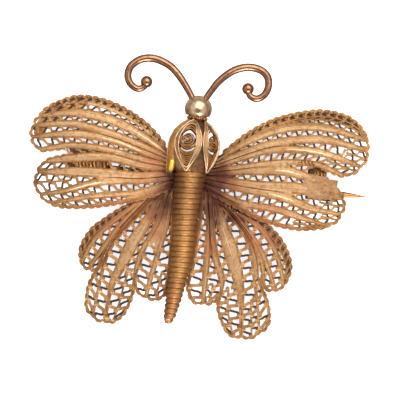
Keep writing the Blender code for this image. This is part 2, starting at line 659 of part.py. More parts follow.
def main():
    for old in list(bpy.data.objects):
        bpy.data.objects.remove(old, do_unlink=True)
    brooch = bpy.data.objects.new("brooch", None)
    bpy.context.collection.objects.link(brooch)
    satin = material("satin_gilt", (0.55, 0.29, 0.09), 0.42)
    polished = material("polished_gilt", (0.62, 0.40, 0.22), 0.22)
    steel = material("pin_gilt", (0.50, 0.30, 0.14), 0.3)
    fore, hind = forewing_roots(), hindwing_roots()
    pieces = [
        wing("forewing_right", 1, FOREWING_RIGHT, fore, FOREWING_OPENINGS, FOREWING_NETS,
             forewing_underside, satin, brooch),
        wing("forewing_left", -1, FOREWING_LEFT, fore, FOREWING_OPENINGS, FOREWING_NETS,
             forewing_underside, satin, brooch),
        wing("hindwing_right", 1, HINDWING_RIGHT, hind, HINDWING_OPENINGS, HINDWING_NETS,
             hindwing_underside, satin, brooch),
        wing("hindwing_left", -1, HINDWING_LEFT, hind, HINDWING_OPENINGS, HINDWING_NETS,
             hindwing_underside, satin, brooch),
        head(polished, brooch),
        thorax(satin, brooch),
        abdomen(satin, brooch),
        antenna("antenna_left", -1, ANTENNA_LEFT, polished, brooch),
        antenna("antenna_right", 1, ANTENNA_RIGHT, polished, brooch),
        hinge(satin, brooch),
        catch(satin, brooch),
        pin_stem(steel, brooch),
    ]
    centre_on_base(pieces, brooch)


main()
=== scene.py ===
"""The looks of a gilt filigree butterfly brooch: ribs, crinkled net and scalloped edges on four wings,
a petal cage thorax, a wound abdomen, a ball head, curled antennae, and the pin, hinge and catch.

Shapes are worked out from the body axis (x = 0) and the pin's line (y = 0), in metres, and each
finished piece is then moved by body_place into the frame. Left and right are as seen from above.
"""

import json
import math
import random

import bmesh
import bpy
from mathutils import Matrix, Vector


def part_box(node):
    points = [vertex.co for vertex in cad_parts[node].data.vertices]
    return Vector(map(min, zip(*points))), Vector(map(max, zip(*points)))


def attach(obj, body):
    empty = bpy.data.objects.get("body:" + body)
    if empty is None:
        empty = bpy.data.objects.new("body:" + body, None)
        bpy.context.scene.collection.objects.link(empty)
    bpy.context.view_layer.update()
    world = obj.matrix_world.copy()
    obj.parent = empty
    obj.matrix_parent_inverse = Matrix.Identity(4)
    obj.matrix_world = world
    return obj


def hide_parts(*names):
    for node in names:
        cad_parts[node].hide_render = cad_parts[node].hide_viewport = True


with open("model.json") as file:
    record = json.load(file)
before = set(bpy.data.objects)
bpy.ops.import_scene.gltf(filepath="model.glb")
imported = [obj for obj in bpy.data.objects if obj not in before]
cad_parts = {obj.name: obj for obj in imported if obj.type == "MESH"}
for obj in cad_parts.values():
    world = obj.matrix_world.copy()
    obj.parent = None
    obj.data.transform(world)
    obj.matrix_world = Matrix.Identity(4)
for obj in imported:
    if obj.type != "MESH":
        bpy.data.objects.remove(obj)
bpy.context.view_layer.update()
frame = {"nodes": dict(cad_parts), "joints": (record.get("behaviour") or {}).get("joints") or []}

MM = 0.001
UP = Vector((0, 0, 1))

# Sizes that the solids have too
wing_reach = 25.0 * MM
wing_wall = 0.65 * MM
forewing_root_height = 2.6 * MM
forewing_dome = 1.9 * MM
forewing_front_droop = 2.3 * MM
forewing_back_droop = 1.3 * MM
hindwing_root_height = 2.2 * MM
head_radius = 2.18 * MM
thorax_half_width = 4.15 * MM
thorax_half_depth = 3.65 * MM
thorax_length = 8.25 * MM
thorax_tail_y = 0.8 * MM
abdomen_radius = 2.4 * MM
abdomen_length = 24.0 * MM
antenna_reach = 10.0 * MM
antenna_wire_radius = 0.47 * MM
antenna_ball_radius = 0.95 * MM
body_height = 4.8 * MM
head_y = 10.88 * MM
hinge_share = -0.68
stem_radius = 0.45 * MM
stem_taper = 4.2 * MM
stem_tip_radius = 0.07 * MM
eye_radius = 1.0 * MM
eye_bore = 0.6 * MM
eye_width = 0.85 * MM
path_tilt = math.radians(20)

# Wire gauges and net sizes of the visible work
net_wire = 0.2 * MM
net_height = 0.16 * MM
rim_radius = 0.15 * MM
strand_radius = 0.16 * MM
fine_strand_radius = 0.1 * MM
border_radius = 0.17 * MM
crest_highlight_radius = 0.13 * MM
scallop_wire = 0.3 * MM
scallop_pitch = 1.2 * MM
scallop_height = 0.3 * MM
chain_pitch = 0.68 * MM
rib_extra = 0.2 * MM
hindwing_extra = 0.04 * MM
rib_dome = 0.13 * MM
rib_wire_pitch = 0.3 * MM
rib_wire_height = 0.03 * MM
web_height = 0.3 * MM
forewing_row = 1.8 * MM
hindwing_row = 2.2 * MM
ring_pitch = 0.85 * MM
winding_wire = 0.53 * MM
hole_least = 0.74 * MM
hole_most = 1.05 * MM
row_gap = 0.16 * MM
fold_height = 0.03 * MM

# How much shorter or longer than the rest one loop of a net may be
loop_lengths = (0.72, 1.3)

# Shares of wing_reach: how wide a rib is at its very tip, up to which width it is narrow and stays
# brown, and from which it is shaped like a leaf
tip_width = 0.014
narrow_width = 0.02
leaf_width = 0.06

# How thick the net's wire is at a plain and at a soldered crossing, as shares of net_wire
forewing_gauges = (1.6, 2.4)
hindwing_gauges = (1.8, 2.9)

# Heights above a wing's underside: the foot and the face of its metal, and its wires' middles
edge_lift = wing_wall * 0.15
rib_lift = wing_wall * 0.8
net_lift = 0.36 * MM
scallop_lift = 0.38 * MM
border_lift = 0.4 * MM
strand_lift = 0.45 * MM
chain_lift = 0.5 * MM

# Faces that meet at less than this look round
smooth_angle = math.radians(50)

# Steps along a rib, from its root to its tip
STATIONS = 72

# Rib tables. A row is a rib from the front of the wing to its back: a name, its width at the root, the
# middle and the tip as shares of wing_reach, and the places that it passes through after the root, as
# (out, up) shares of wing_reach.
FOREWING_RIGHT = [
    ("front_border", 0.02, 0.02, 0.02,
     [(0.32, 0.29), (0.48, 0.40), (0.64, 0.465), (0.80, 0.50), (0.96, 0.482), (1.065, 0.42)]),
    ("rib_a", 0.02, 0.036, 0.03,
     [(0.32, 0.255), (0.48, 0.344), (0.64, 0.396), (0.84, 0.41), (1.095, 0.36)]),
    ("rib_b", 0.02, 0.036, 0.03,
     [(0.32, 0.192), (0.48, 0.264), (0.64, 0.308), (0.84, 0.332), (1.10, 0.296)]),
    ("rib_c", 0.02, 0.036, 0.03,
     [(0.32, 0.16), (0.48, 0.224), (0.64, 0.248), (0.84, 0.24), (1.07, 0.188)]),
    ("lobe_edge", 0.02, 0.028, 0.02,
     [(0.32, 0.10), (0.48, 0.14), (0.64, 0.168), (0.80, 0.168), (0.965, 0.122)]),
    ("rib_e", 0.02, 0.048, 0.036,
     [(0.32, 0.076), (0.48, 0.096), (0.60, 0.106), (0.72, 0.084), (0.905, 0.044)]),
    ("rib_f", 0.02, 0.056, 0.036,
     [(0.32, -0.008), (0.48, -0.01), (0.60, 0.0), (0.72, 0.004), (0.98, -0.028)]),
    ("rib_g", 0.02, 0.04, 0.02,
     [(0.32, -0.036), (0.52, -0.052), (0.64, -0.072), (0.80, -0.116), (0.975, -0.13)]),
    ("rib_h", 0.02, 0.032, 0.016,
     [(0.28, -0.116), (0.40, -0.136), (0.56, -0.144), (0.72, -0.176), (0.905, -0.212)]),
    ("back_border", 0.02, 0.02, 0.02,
     [(0.28, -0.136), (0.40, -0.186), (0.56, -0.232), (0.72, -0.25), (0.83, -0.235)]),
]
FOREWING_LEFT = [
    ("front_border", 0.02, 0.022, 0.022,
     [(0.32, 0.288), (0.48, 0.372), (0.64, 0.416), (0.80, 0.414), (0.94, 0.352)]),
    ("rib_a", 0.02, 0.044, 0.032,
     [(0.32, 0.216), (0.48, 0.286), (0.64, 0.319), (0.80, 0.322), (1.00, 0.28)]),
    ("rib_b", 0.02, 0.032, 0.028,
     [(0.32, 0.16), (0.48, 0.204), (0.64, 0.236), (0.80, 0.252), (1.03, 0.216)]),
    ("rib_c", 0.02, 0.036, 0.028,
     [(0.32, 0.124), (0.48, 0.168), (0.64, 0.188), (0.80, 0.184), (1.035, 0.14)]),
    ("lobe_edge", 0.02, 0.028, 0.02,
     [(0.32, 0.076), (0.48, 0.104), (0.64, 0.118), (0.80, 0.112), (0.97, 0.068)]),
    ("rib_e", 0.02, 0.044, 0.036,
     [(0.32, 0.04), (0.48, 0.064), (0.60, 0.06), (0.76, 0.032), (0.925, -0.008)]),
    ("rib_f", 0.02, 0.048, 0.036,
     [(0.32, -0.032), (0.48, -0.038), (0.64, -0.042), (0.80, -0.056), (0.97, -0.076)]),
    ("rib_g", 0.02, 0.03, 0.02,
     [(0.32, -0.062), (0.48, -0.08), (0.64, -0.12), (0.80, -0.184), (0.94, -0.22)]),
    ("rib_h", 0.02, 0.024, 0.016,
     [(0.32, -0.136), (0.48, -0.168), (0.64, -0.20), (0.76, -0.236), (0.87, -0.264)]),
    ("back_border", 0.02, 0.02, 0.02,
     [(0.24, -0.14), (0.38, -0.194), (0.54, -0.238), (0.68, -0.268), (0.80, -0.28)]),
]
HINDWING_RIGHT = [
    ("inner_border", 0.016, 0.02, 0.02,
     [(0.094, -0.24), (0.088, -0.40), (0.08, -0.56), (0.064, -0.69), (0.095, -0.785)]),
    ("rib_a", 0.016, 0.03, 0.024,
     [(0.15, -0.28), (0.156, -0.40), (0.162, -0.52), (0.166, -0.64), (0.17, -0.79)]),
    ("petal_1_edge", 0.016, 0.016, 0.016,
     [(0.17, -0.36), (0.208, -0.508), (0.256, -0.62), (0.276, -0.70), (0.25, -0.768)]),
    ("petal_2_inner_edge", 0.016, 0.016, 0.016,
     [(0.194, -0.36), (0.236, -0.508), (0.284, -0.632), (0.272, -0.82), (0.34, -0.965)]),
    ("rib_b", 0.03, 0.088, 0.03,
     [(0.24, -0.30), (0.32, -0.48), (0.384, -0.64), (0.42, -0.80), (0.44, -0.985)]),
    ("rib_c", 0.016, 0.02, 0.016,
     [(0.36, -0.30), (0.44, -0.44), (0.48, -0.60), (0.524, -0.78), (0.555, -0.945)]),
    ("petal_2_outer_edge", 0.016, 0.02, 0.02,
     [(0.385, -0.304), (0.472, -0.45), (0.516, -0.62), (0.585, -0.76), (0.61, -0.87)]),
    ("petal_3_inner_edge", 0.016, 0.03, 0.016,
     [(0.40, -0.318), (0.48, -0.43), (0.522, -0.53), (0.534, -0.60), (0.555, -0.655)]),
    ("rib_d", 0.016, 0.024, 0.021,
     [(0.42, -0.32), (0.508, -0.43), (0.562, -0.53), (0.60, -0.61), (0.612, -0.66)]),
    ("rib_e", 0.016, 0.021, 0.021,
     [(0.462, -0.266), (0.566, -0.37), (0.622, -0.47), (0.654, -0.555), (0.672, -0.625)]),
    ("outer_border", 0.016, 0.02, 0.02,
     [(0.46, -0.236), (0.556, -0.30), (0.64, -0.392), (0.69, -0.50), (0.692, -0.58)]),
]
HINDWING_LEFT = [
    ("inner_border", 0.016, 0.02, 0.02,
     [(0.09, -0.24), (0.078, -0.40), (0.072, -0.56), (0.076, -0.68), (0.085, -0.775)]),
    ("rib_a", 0.016, 0.024, 0.02,
     [(0.122, -0.34), (0.14, -0.44), (0.162, -0.56), (0.184, -0.68), (0.20, -0.795)]),
    ("petal_1_edge", 0.016, 0.016, 0.016,
     [(0.168, -0.32), (0.236, -0.48), (0.26, -0.58), (0.282, -0.68), (0.266, -0.754)]),
    ("petal_2_inner_edge", 0.016, 0.016, 0.016,
     [(0.192, -0.32), (0.256, -0.48), (0.284, -0.592), (0.292, -0.80), (0.334, -0.935)]),
    ("rib_b", 0.03, 0.088, 0.03,
     [(0.252, -0.34), (0.32, -0.48), (0.376, -0.62), (0.428, -0.76), (0.45, -0.985)]),
    ("rib_c", 0.016, 0.016, 0.016,
     [(0.352, -0.344), (0.436, -0.468), (0.48, -0.58), (0.508, -0.76), (0.53, -0.958)]),
    ("petal_2_outer_edge", 0.016, 0.016, 0.02,
     [(0.372, -0.348), (0.456, -0.472), (0.50, -0.60), (0.572, -0.76), (0.58, -0.90)]),
    ("petal_3_inner_edge", 0.016, 0.02, 0.016,
     [(0.388, -0.348), (0.468, -0.476), (0.508, -0.568), (0.518, -0.62), (0.535, -0.655)]),
    ("rib_d", 0.016, 0.026, 0.021,
     [(0.412, -0.356), (0.488, -0.48), (0.536, -0.568), (0.568, -0.624), (0.584, -0.66)]),
    ("rib_e", 0.016, 0.021, 0.021,
     [(0.432, -0.312), (0.53, -0.414), (0.59, -0.504), (0.618, -0.576), (0.636, -0.626)]),
    ("outer_border", 0.016, 0.02, 0.02,
     [(0.412, -0.26), (0.504, -0.34), (0.584, -0.42), (0.636, -0.52), (0.648, -0.584)]),
]

# Finishes of a wing's metal, as places in its list of materials
GOLD, BROWN, DULL = 0, 1, 2

# Nets between a rib and the next: the share of the ribs' length up to which the space is closed, what
# closes it (gold level with the ribs, or dull metal under the crinkled wire), and the share where a
# notch in the wing ends the net.
FOREWING_RIGHT_NETS = [
    (0.44, DULL, 1), (0.11, DULL, 1), (0.50, GOLD, 1), (0.12, DULL, 1), (0.57, GOLD, 0.84),
    (0.22, DULL, 1), (0.63, GOLD, 1), (0.13, DULL, 1), (0.38, GOLD, 1),
]
FOREWING_LEFT_NETS = [
    (0.14, DULL, 1), (0.13, DULL, 1), (0.52, GOLD, 1), (0.08, DULL, 1), (0.45, GOLD, 0.82),
    (0.18, DULL, 1), (0.56, GOLD, 1), (0.10, DULL, 1), (0.40, GOLD, 1),
]
HINDWING_RIGHT_NETS = [
    (0.16, DULL, 1), (0.50, GOLD, 1), (0.70, GOLD, 0.70), (0.24, DULL, 1), (0.17, DULL, 1),
    (0.60, GOLD, 1), (0.66, GOLD, 0.66), (0.44, GOLD, 1), (0.24, DULL, 1), (0.58, BROWN, 1),
]
HINDWING_LEFT_NETS = [
    (0.20, DULL, 1), (0.50, GOLD, 1), (0.68, GOLD, 0.68), (0.24, DULL, 1), (0.16, DULL, 1),
    (0.60, GOLD, 1), (0.66, GOLD, 0.66), (0.46, GOLD, 1), (0.16, DULL, 1), (0.50, BROWN, 1),
]

# Further out, metal behind crinkled wire, and a gold strip along the left forewing's border: the net,
# how far across it from rib to rib, from which share of the ribs' length to which, and its finish.
BACKED = {
    "forewing_right": [(0, 0.0, 0.45, 0.40, 0.98, BROWN)],
    "forewing_left": [(0, 0.0, 1.0, 0.72, 0.99, BROWN), (1, 0.0, 1.0, 0.83, 0.99, BROWN),
                      (2, 0.0, 1.0, 0.92, 0.99, BROWN), (4, 0.0, 1.0, 0.45, 0.80, DULL),
                      (5, 0.0, 1.0, 0.50, 0.76, DULL), (0, 0.0, 0.32, 0.06, 0.72, GOLD)],
}

# The border of closely crinkled wire on a brown strip: the rib, half the strip's width in mm, and the
# shares of the rib's length between which the wire lies.
CHAINS = {
    "forewing_right": (0, 0.42, 0.06, 0.99),
    "forewing_left": (0, 0.24, 0.06, 0.99),
    "hindwing_right": (10, 0.45, 0.04, 0.99),
    "hindwing_left": (10, 0.42, 0.04, 0.99),
}

# Nets that a strand parts all the way: where it runs across, and whether crinkled wire lies in front of
# it too, or only behind it because a gold strip lies in front.
PARTED = {"forewing_right": {0: (0.42, True)}, "forewing_left": {0: (0.32, False)}}

# Ribs with a painted highlight along the crest: the rib, and the shares of its length between which it
# shines.
CREST_HIGHLIGHTS = {
    "forewing_right": [(3, 0.50, 0.80), (5, 0.50, 0.74), (7, 0.46, 0.66)],
    "forewing_left": [(1, 0.04, 0.32), (3, 0.22, 0.52), (7, 0.52, 0.80)],
    "hindwing_right": [(4, 0.20, 0.56)],
    "hindwing_left": [(4, 0.20, 0.50)],
}

# Abdomen: share of its length, sideways place and radius as shares of abdomen_radius, and how far the
# axis has sunk, as a share of the same radius.
ABDOMEN_SECTIONS = [
    (0.0, -0.04, 1.0, 0.0), (0.25, -0.04, 0.89, 0.02), (0.40, 0.0, 0.83, 0.06), (0.52, -0.01, 0.80, 0.12),
    (0.60, -0.04, 0.75, 0.18), (0.68, -0.10, 0.65, 0.24), (0.85, -0.22, 0.50, 0.42),
    (0.96, -0.36, 0.38, 0.58), (1.0, -0.40, 0.2, 0.62),
]

# Thorax: share of its length from the head, and radius as a share of its greatest.
THORAX_SECTIONS = [
    (0.0, 0.42), (0.08, 0.62), (0.2, 0.83), (0.36, 0.97), (0.5, 1.0), (0.64, 0.97), (0.78, 0.9),
    (0.9, 0.82), (1.0, 0.74),
]
PETALS = 5
PETAL_TURN = math.radians(-17)
PETAL_HALF_ANGLE = math.radians(34)
spiral_steps = 109
spiral_turns = 2.8
spiral_wire = 0.13 * MM
crescent_wire = 0.14 * MM

# The plain band that closes the cage's left side: share of its length, how far out its edge lies as a
# share of thorax_half_width, and how far it reaches in, in mm.
SIDE_BAND = [
    (0.0, 0.36, 0.5), (0.08, 0.6, 0.8), (0.2, 0.82, 1.1), (0.36, 0.96, 1.25), (0.5, 1.0, 1.3),
    (0.64, 1.0, 1.3), (0.78, 0.99, 1.25), (0.9, 0.97, 1.1), (1.0, 0.94, 0.8),
]

# A petal: share of its length from the head, and half its width as a share of PETAL_HALF_ANGLE.
PETAL_SECTIONS = [
    (0.0, 0.3), (0.06, 0.58), (0.15, 0.8), (0.3, 0.97), (0.42, 1.0), (0.55, 0.95), (0.7, 0.76),
    (0.85, 0.44), (1.0, 0.04),
]

# Crescents of wire in a petal: height of their middle above its eye in mm, and how far they bow up.
CRESCENTS = [
    (1.7, 0.8), (2.1, 0.7), (2.6, 0.45), (2.95, 0.4), (-1.15, -0.5), (-1.5, -0.9), (-2.15, -0.6),
    (-2.45, -0.6), (-2.85, -0.55), (-3.15, -0.5), (-3.45, -0.45), (-3.75, -0.4), (-4.05, -0.35),
]

# Antennae: places that the wire passes through, as shares of antenna_reach out from the body axis and
# up from the head's centre, the last of them the middle of the ball.
ANTENNA_LEFT = [
    (0.23, 0.33), (0.37, 0.50), (0.53, 0.635), (0.72, 0.71), (0.88, 0.72), (1.02, 0.675), (1.14, 0.57),
    (1.18, 0.44), (1.15, 0.32), (1.07, 0.24), (0.98, 0.215), (0.90, 0.26), (0.87, 0.34),
]
ANTENNA_RIGHT = [
    (0.17, 0.31), (0.27, 0.47), (0.43, 0.63), (0.60, 0.725), (0.77, 0.755), (0.93, 0.725), (1.04, 0.63),
    (1.07, 0.49), (1.03, 0.36), (0.95, 0.285), (0.87, 0.27), (0.79, 0.31), (0.75, 0.41),
]

# The catch's seat, a plate level with the right forewing's wires, in mm: out, its back and front edge.
CATCH_SEAT = [
    (17.8, -0.1, 1.0), (18.4, -0.9, 2.1), (19.4, -1.2, 2.6), (20.6, -1.45, 2.5), (21.6, -1.15, 2.4),
    (22.5, -1.2, 1.9), (23.3, -0.8, 1.3), (23.8, -0.6, 0.1),
]

pin_pivot = Vector(frame["joints"][0]["pos_m"])
body_place = Vector((pin_pivot.x - hinge_share * wing_reach, pin_pivot.y, 0))

# Socket places of Blender's Mix node for colours
MIX_FACTOR, MIX_FIRST, MIX_SECOND, MIX_RESULT = 0, 6, 7, 2


def node(tree, kind, links=None, out=0, **settings):
    """Adds a node to a tree with its settings and gives one of its outputs, the first unless out says
    another; an input takes a value or another node's output."""
    made = tree.nodes.new(kind)
    for name, value in settings.items():
        setattr(made, name, value)
    for key, value in (links or {}).items():
        if isinstance(value, bpy.types.NodeSocket):
            tree.links.new(value, made.inputs[key])
        else:
            made.inputs[key].default_value = value
    return made.outputs[out] if len(made.outputs) else None


def linear(hex_text):
    """An sRGB hex colour as Blender's linear one."""
    parts = [int(hex_text[k:k + 2], 16) / 255 for k in (1, 3, 5)]
    return (*[p / 12.92 if p <= 0.04045 else ((p + 0.055) / 1.055) ** 2.4 for p in parts], 1.0)


# Tarnish left where polish does not reach, and painted shade of the recess where the wings meet the body:
# places on the body's plan in mm, where it is full, where it ends. Then the same for older, redder gilding.
TARNISH_AND_SHADE_SPOTS = [
    ((3.3, -1.8), 1.2, 4.6), ((-3.0, -1.6), 0.8, 3.4), ((4.0, -5.0), 1.2, 4.6),
    ((-3.6, -4.6), 0.8, 3.8), ((7.5, -6.0), 0.2, 3.4), ((4.6, 0.4), 0.7, 2.4),
]
REDDISH_SPOTS = [
    ((12.8, -7.0), 2.4, 5.5), ((-12.0, -8.0), 1.6, 5.0), ((3.5, -11.0), 0.8, 3.4),
    ((-4.5, -8.0), 0.8, 4.0), ((5.5, 0.0), 1.0, 3.6), ((-5.0, 1.0), 1.0, 4.5),
    ((-1.2, -21.6), 2.4, 4.6),
]


def spots(tree, place, wobble, table):
    """A mask that is one inside the spots of a table and fades out round them."""
    mask = None
    for (x, y), full, gone in table:
        centre = (body_place.x + x * MM, body_place.y + y * MM, 0)
        away = node(tree, "ShaderNodeVectorMath", {0: place, 1: centre}, operation="DISTANCE", out="Value")
        moved = node(tree, "ShaderNodeMath", {0: away, 1: wobble}, operation="ADD")
        here = node(tree, "ShaderNodeMapRange",
                    {"Value": moved, "From Min": gone * MM, "From Max": full * MM})
        if mask is None:
            mask = here
        else:
            mask = node(tree, "ShaderNodeMath", {0: mask, 1: here}, operation="MAXIMUM")
    return mask


def gilt(name, pale, middle, deep, roughness, streak_pitch=0.0, streak_height=0.0, spot_strength=1.0,
         crossing=""):
    """Gold over a drawn or cast metal, with clouds of older, redder gilding, and tarnish with painted shade
    at the roots.
    Crinkled wire may be painted darker where it crosses a row, away from its bends, as shade on the wire."""
    made = bpy.data.materials.new(name)
    made.use_nodes = True
    tree = made.node_tree
    tree.nodes.clear()
    cloud_size, mottle_size, grit_size = 2.6 * MM, 0.5 * MM, 0.22 * MM
    place = node(tree, "ShaderNodeTexCoord", out="Object")
    flat = node(tree, "ShaderNodeVectorMath", {0: place, 1: (1, 1, 0)}, operation="MULTIPLY")
    cloud = node(tree, "ShaderNodeTexNoise", {"Vector": place, "Scale": 1 / cloud_size, "Detail": 3.0,
                                              "Roughness": 0.6})
    mottle, grit = (node(tree, "ShaderNodeTexNoise", {"Vector": place, "Scale": 1 / size, "Detail": 2.0})
                    for size in (mottle_size, grit_size))
    clouds = node(tree, "ShaderNodeMapRange", {"Value": cloud, "From Min": 0.32, "From Max": 0.68})
    patches = node(tree, "ShaderNodeMapRange", {"Value": mottle, "From Min": 0.48, "From Max": 0.75,
                                                "To Max": 0.7})
    wobble = node(tree, "ShaderNodeMapRange", {"Value": cloud, "To Min": -1.6 * MM, "To Max": 1.6 * MM})
    red, dark = (node(tree, "ShaderNodeMath", {0: spots(tree, flat, wobble, table), 1: share * spot_strength},
                      operation="MULTIPLY") for table, share in ((REDDISH_SPOTS, 0.7), (TARNISH_AND_SHADE_SPOTS, 0.92)))
    # The darkest colour is tarnish, and also painted shade where the wing roots meet the body.
    older_gilding, tarnish_and_shade = "#AE7450", "#6E4538"
    gold = linear(middle)
    for mask, colour in ((clouds, pale), (patches, deep), (red, older_gilding), (dark, tarnish_and_shade)):
        gold = node(tree, "ShaderNodeMix", {MIX_FACTOR: mask, MIX_FIRST: gold, MIX_SECOND: linear(colour)},
                    data_type="RGBA", out=MIX_RESULT)
    # Where the stored solder value is low, the wire is painted darker: painted shade on the edge-on wire at
    # its crossings.
    if crossing:
        solder_and_shade = node(tree, "ShaderNodeAttribute", attribute_name="solder_and_shade", out="Fac")
        solder_and_shade = node(tree, "ShaderNodeMapRange", {"Value": solder_and_shade, "From Min": 0.15, "From Max": 0.8})
        gold = node(tree, "ShaderNodeMix",
                    {MIX_FACTOR: solder_and_shade, MIX_FIRST: linear(crossing), MIX_SECOND: gold},
                    data_type="RGBA", out=MIX_RESULT)
    rough = node(tree, "ShaderNodeMapRange", {"Value": mottle, "To Min": roughness - 0.06,
                                              "To Max": roughness + 0.12})
    bump = node(tree, "ShaderNodeBump", {"Height": grit, "Strength": 0.25, "Distance": 0.02 * MM})
    if streak_height:
        along = node(tree, "ShaderNodeUVMap", uv_map="wire")
        drawn = node(tree, "ShaderNodeMapping",
                     {"Vector": along, "Scale": (1 / streak_pitch, 0.06 / streak_pitch, 1)})
        streaks = node(tree, "ShaderNodeTexNoise", {"Vector": drawn, "Scale": 1.0, "Detail": 2.0},
                       noise_dimensions="2D")
        bump = node(tree, "ShaderNodeBump", {"Height": streaks, "Strength": 0.6, "Distance": streak_height,
                                             "Normal": bump})
    shader = node(tree, "ShaderNodeBsdfPrincipled", {"Base Color": gold, "Metallic": 1.0, "Roughness": rough,
                                                     "Normal": bump})
    node(tree, "ShaderNodeOutputMaterial", {"Surface": shader}, is_active_output=True)
    return made


# Gilt brass wire, drawn, burnished flat and left satin: streaky along the wire, warm where it is worn.
satin_gilt = gilt("satin_gilt_drawn_wire", "#CAA57C", "#B78C5E", "#8E6646", 0.55, 0.16 * MM, 0.03 * MM)
# The same brass in the crinkled wires of the net, painted darker where they cross a row: painted shade on the
# thin edge-on wire.
net_gilt = gilt("gilt_net_wire_with_painted_shade", "#C09466", "#A0764C", "#765238", 0.5, crossing="#4E3E36")
# Gilding gone dull behind the net and at the roots of the wings: dark, grey-brown, as tarnish and as painted
# shade of these sunken places, of the gaps in the cage and of the abdomen's core.
dull_gilt_and_shade = gilt("tarnished_gilt_and_painted_shade", "#805A3C", "#644632", "#403028", 0.6)
# Round wire of borders, scallops and chains: brown gilt with some gold left on top.
border_gilt = gilt("round_gilt_border_wire", "#C2905A", "#A07044", "#6E4830", 0.48)
# Pale, smooth gilt that paints highlights: along the crests of the ribs and on the cage's rim wires.
pale_highlight_gilt = gilt("pale_gilt_painted_highlight", "#EBCBA4", "#DDB78C", "#C2966A", 0.32, spot_strength=0.5)
# Fine gilt wire wound on the abdomen: an even orange gold; the dark core that shows between the turns is
# painted shade.
wound_gilt = gilt("wound_gilt_wire", "#BE8D58", "#AA7A48", "#7E5430", 0.5, spot_strength=0.6)
# Polished gilt brass with a pinkish cast, on the ball head.
polished_gilt = gilt("polished_rose_gilt", "#EACAA6", "#D6AC84", "#B0845E", 0.24, spot_strength=0.0)
# The antennae's wire, polished by hand: a browner gold, a little softer.
antenna_gilt = gilt("smooth_gilt_antenna_wire", "#B08262", "#94684C", "#6C4836", 0.24, spot_strength=0.0)
# The seat of the catch, scraped flat: matt and pinkish brown.
seat_gilt = gilt("scraped_gilt_seat", "#C09872", "#AA8058", "#846042", 0.6)
# The side leaf of the cage, where the gilding is less worn: yellower than the rest.
side_gilt = gilt("yellow_gilt_side_leaf", "#F6C67C", "#E6B06A", "#BC8650", 0.5, spot_strength=0.3)
# A painted glint of bright yellow on the side leaf.
yellow_glint_gilt = gilt("painted_yellow_glint_gilt", "#FFEC62", "#FBDC48", "#EDBE3A", 0.35, spot_strength=0.0)
# Gilt brass pin wire, worn by use: smooth and orange.
pin_gilt = gilt("worn_gilt_pin_wire", "#BC8A58", "#9E6E42", "#6C482C", 0.34, spot_strength=0.3)


def smooth_points(points, shares):
    """Places at the given shares of the length of a smooth curve through the points."""
    curve_steps = 12
    points = [Vector(p) for p in points]
    ends = [points[0] * 2 - points[1]] + points + [points[-1] * 2 - points[-2]]
    fine = []
    for a, b, c, d in zip(ends, ends[1:], ends[2:], ends[3:]):
        for step in range(curve_steps):
            t = step / curve_steps
            fine.append(0.5 * (b * 2 + (c - a) * t + (a * 2 - b * 5 + c * 4 - d) * t * t
                               + (b * 3 - a - c * 3 + d) * t ** 3))
    fine.append(points[-1])
    lengths = [0.0]
    for a, b in zip(fine, fine[1:]):
        lengths.append(lengths[-1] + (b - a).length)
    placed = []
    k = 1
    for share in shares:
        wanted = share * lengths[-1]
        while k < len(fine) - 1 and lengths[k] < wanted:
            k += 1
        part = (wanted - lengths[k - 1]) / max(lengths[k] - lengths[k - 1], 1e-9)
        placed.append(fine[k - 1].lerp(fine[k], part))
    return placed


def between(table, share, column):
    """A column of a table, read at a share of the first column by straight lines."""
    for low, high in zip(table, table[1:]):
        if share <= high[0]:
            part = (share - low[0]) / (high[0] - low[0])
            return low[column] + (high[column] - low[column]) * part
    return table[-1][column]


def forewing_underside(x, y):
    """Height of a forewing's underside: a dome along its ridge that droops to the front and back."""
    out = abs(x) / wing_reach
    ridge = (0.02 + 0.1 * out) * wing_reach
    crest = forewing_root_height + forewing_dome * (1 - ((out - 0.68) / 0.52) ** 2)
    if y > ridge:
        return crest - forewing_front_droop * ((y - ridge) / (0.37 * wing_reach)) ** 2.5
    return crest - forewing_back_droop * ((ridge - y) / (0.39 * wing_reach)) ** 2


def hindwing_underside(x, y):
    """Height of a hindwing's underside: a low dome from its root that ends on the table at its tip."""
    tip_distance = math.hypot(0.33, 0.885)
    share = math.hypot(abs(x) / wing_reach - 0.12, y / wing_reach + 0.1) / tip_distance
    return hindwing_root_height * max(1 + 1.5 * share - 2.5 * share * share, 0.0)


def thorax_share(y):
    """Share of the thorax's length from the head at a height up the body."""
    return (thorax_tail_y + thorax_length - y) / thorax_length


def thorax_y(share):
    """Height up the body at a share of the thorax's length from the head."""
    return thorax_tail_y + thorax_length * (1 - share)


def forewing_roots():
    """Where a forewing's ribs start, from the front to the back of its root."""
    ups = [0.156, 0.132, 0.108, 0.084, 0.06, 0.036, 0.012, -0.014, -0.042, -0.068]
    roots = []
    for up in ups:
        y = up * wing_reach
        x = abdomen_radius + 0.15 * MM
        if y > thorax_tail_y:
            x = max(x, between(THORAX_SECTIONS, thorax_share(y), 1) * thorax_half_width + 0.15 * MM)
        roots.append((x, y))
    return roots


def hindwing_roots():
    """Where a hindwing's ribs start, from beside the abdomen along the back of the forewing."""
    first = Vector((abdomen_radius - 0.3 * MM, -0.104 * wing_reach))
    step = Vector((0.0235 * wing_reach, -0.0087 * wing_reach))
    return [tuple(first + step * k) for k in range(len(HINDWING_RIGHT))]


def ring(count):
    """Angles that divide a turn evenly."""
    return [2 * math.pi * k / count for k in range(count)]


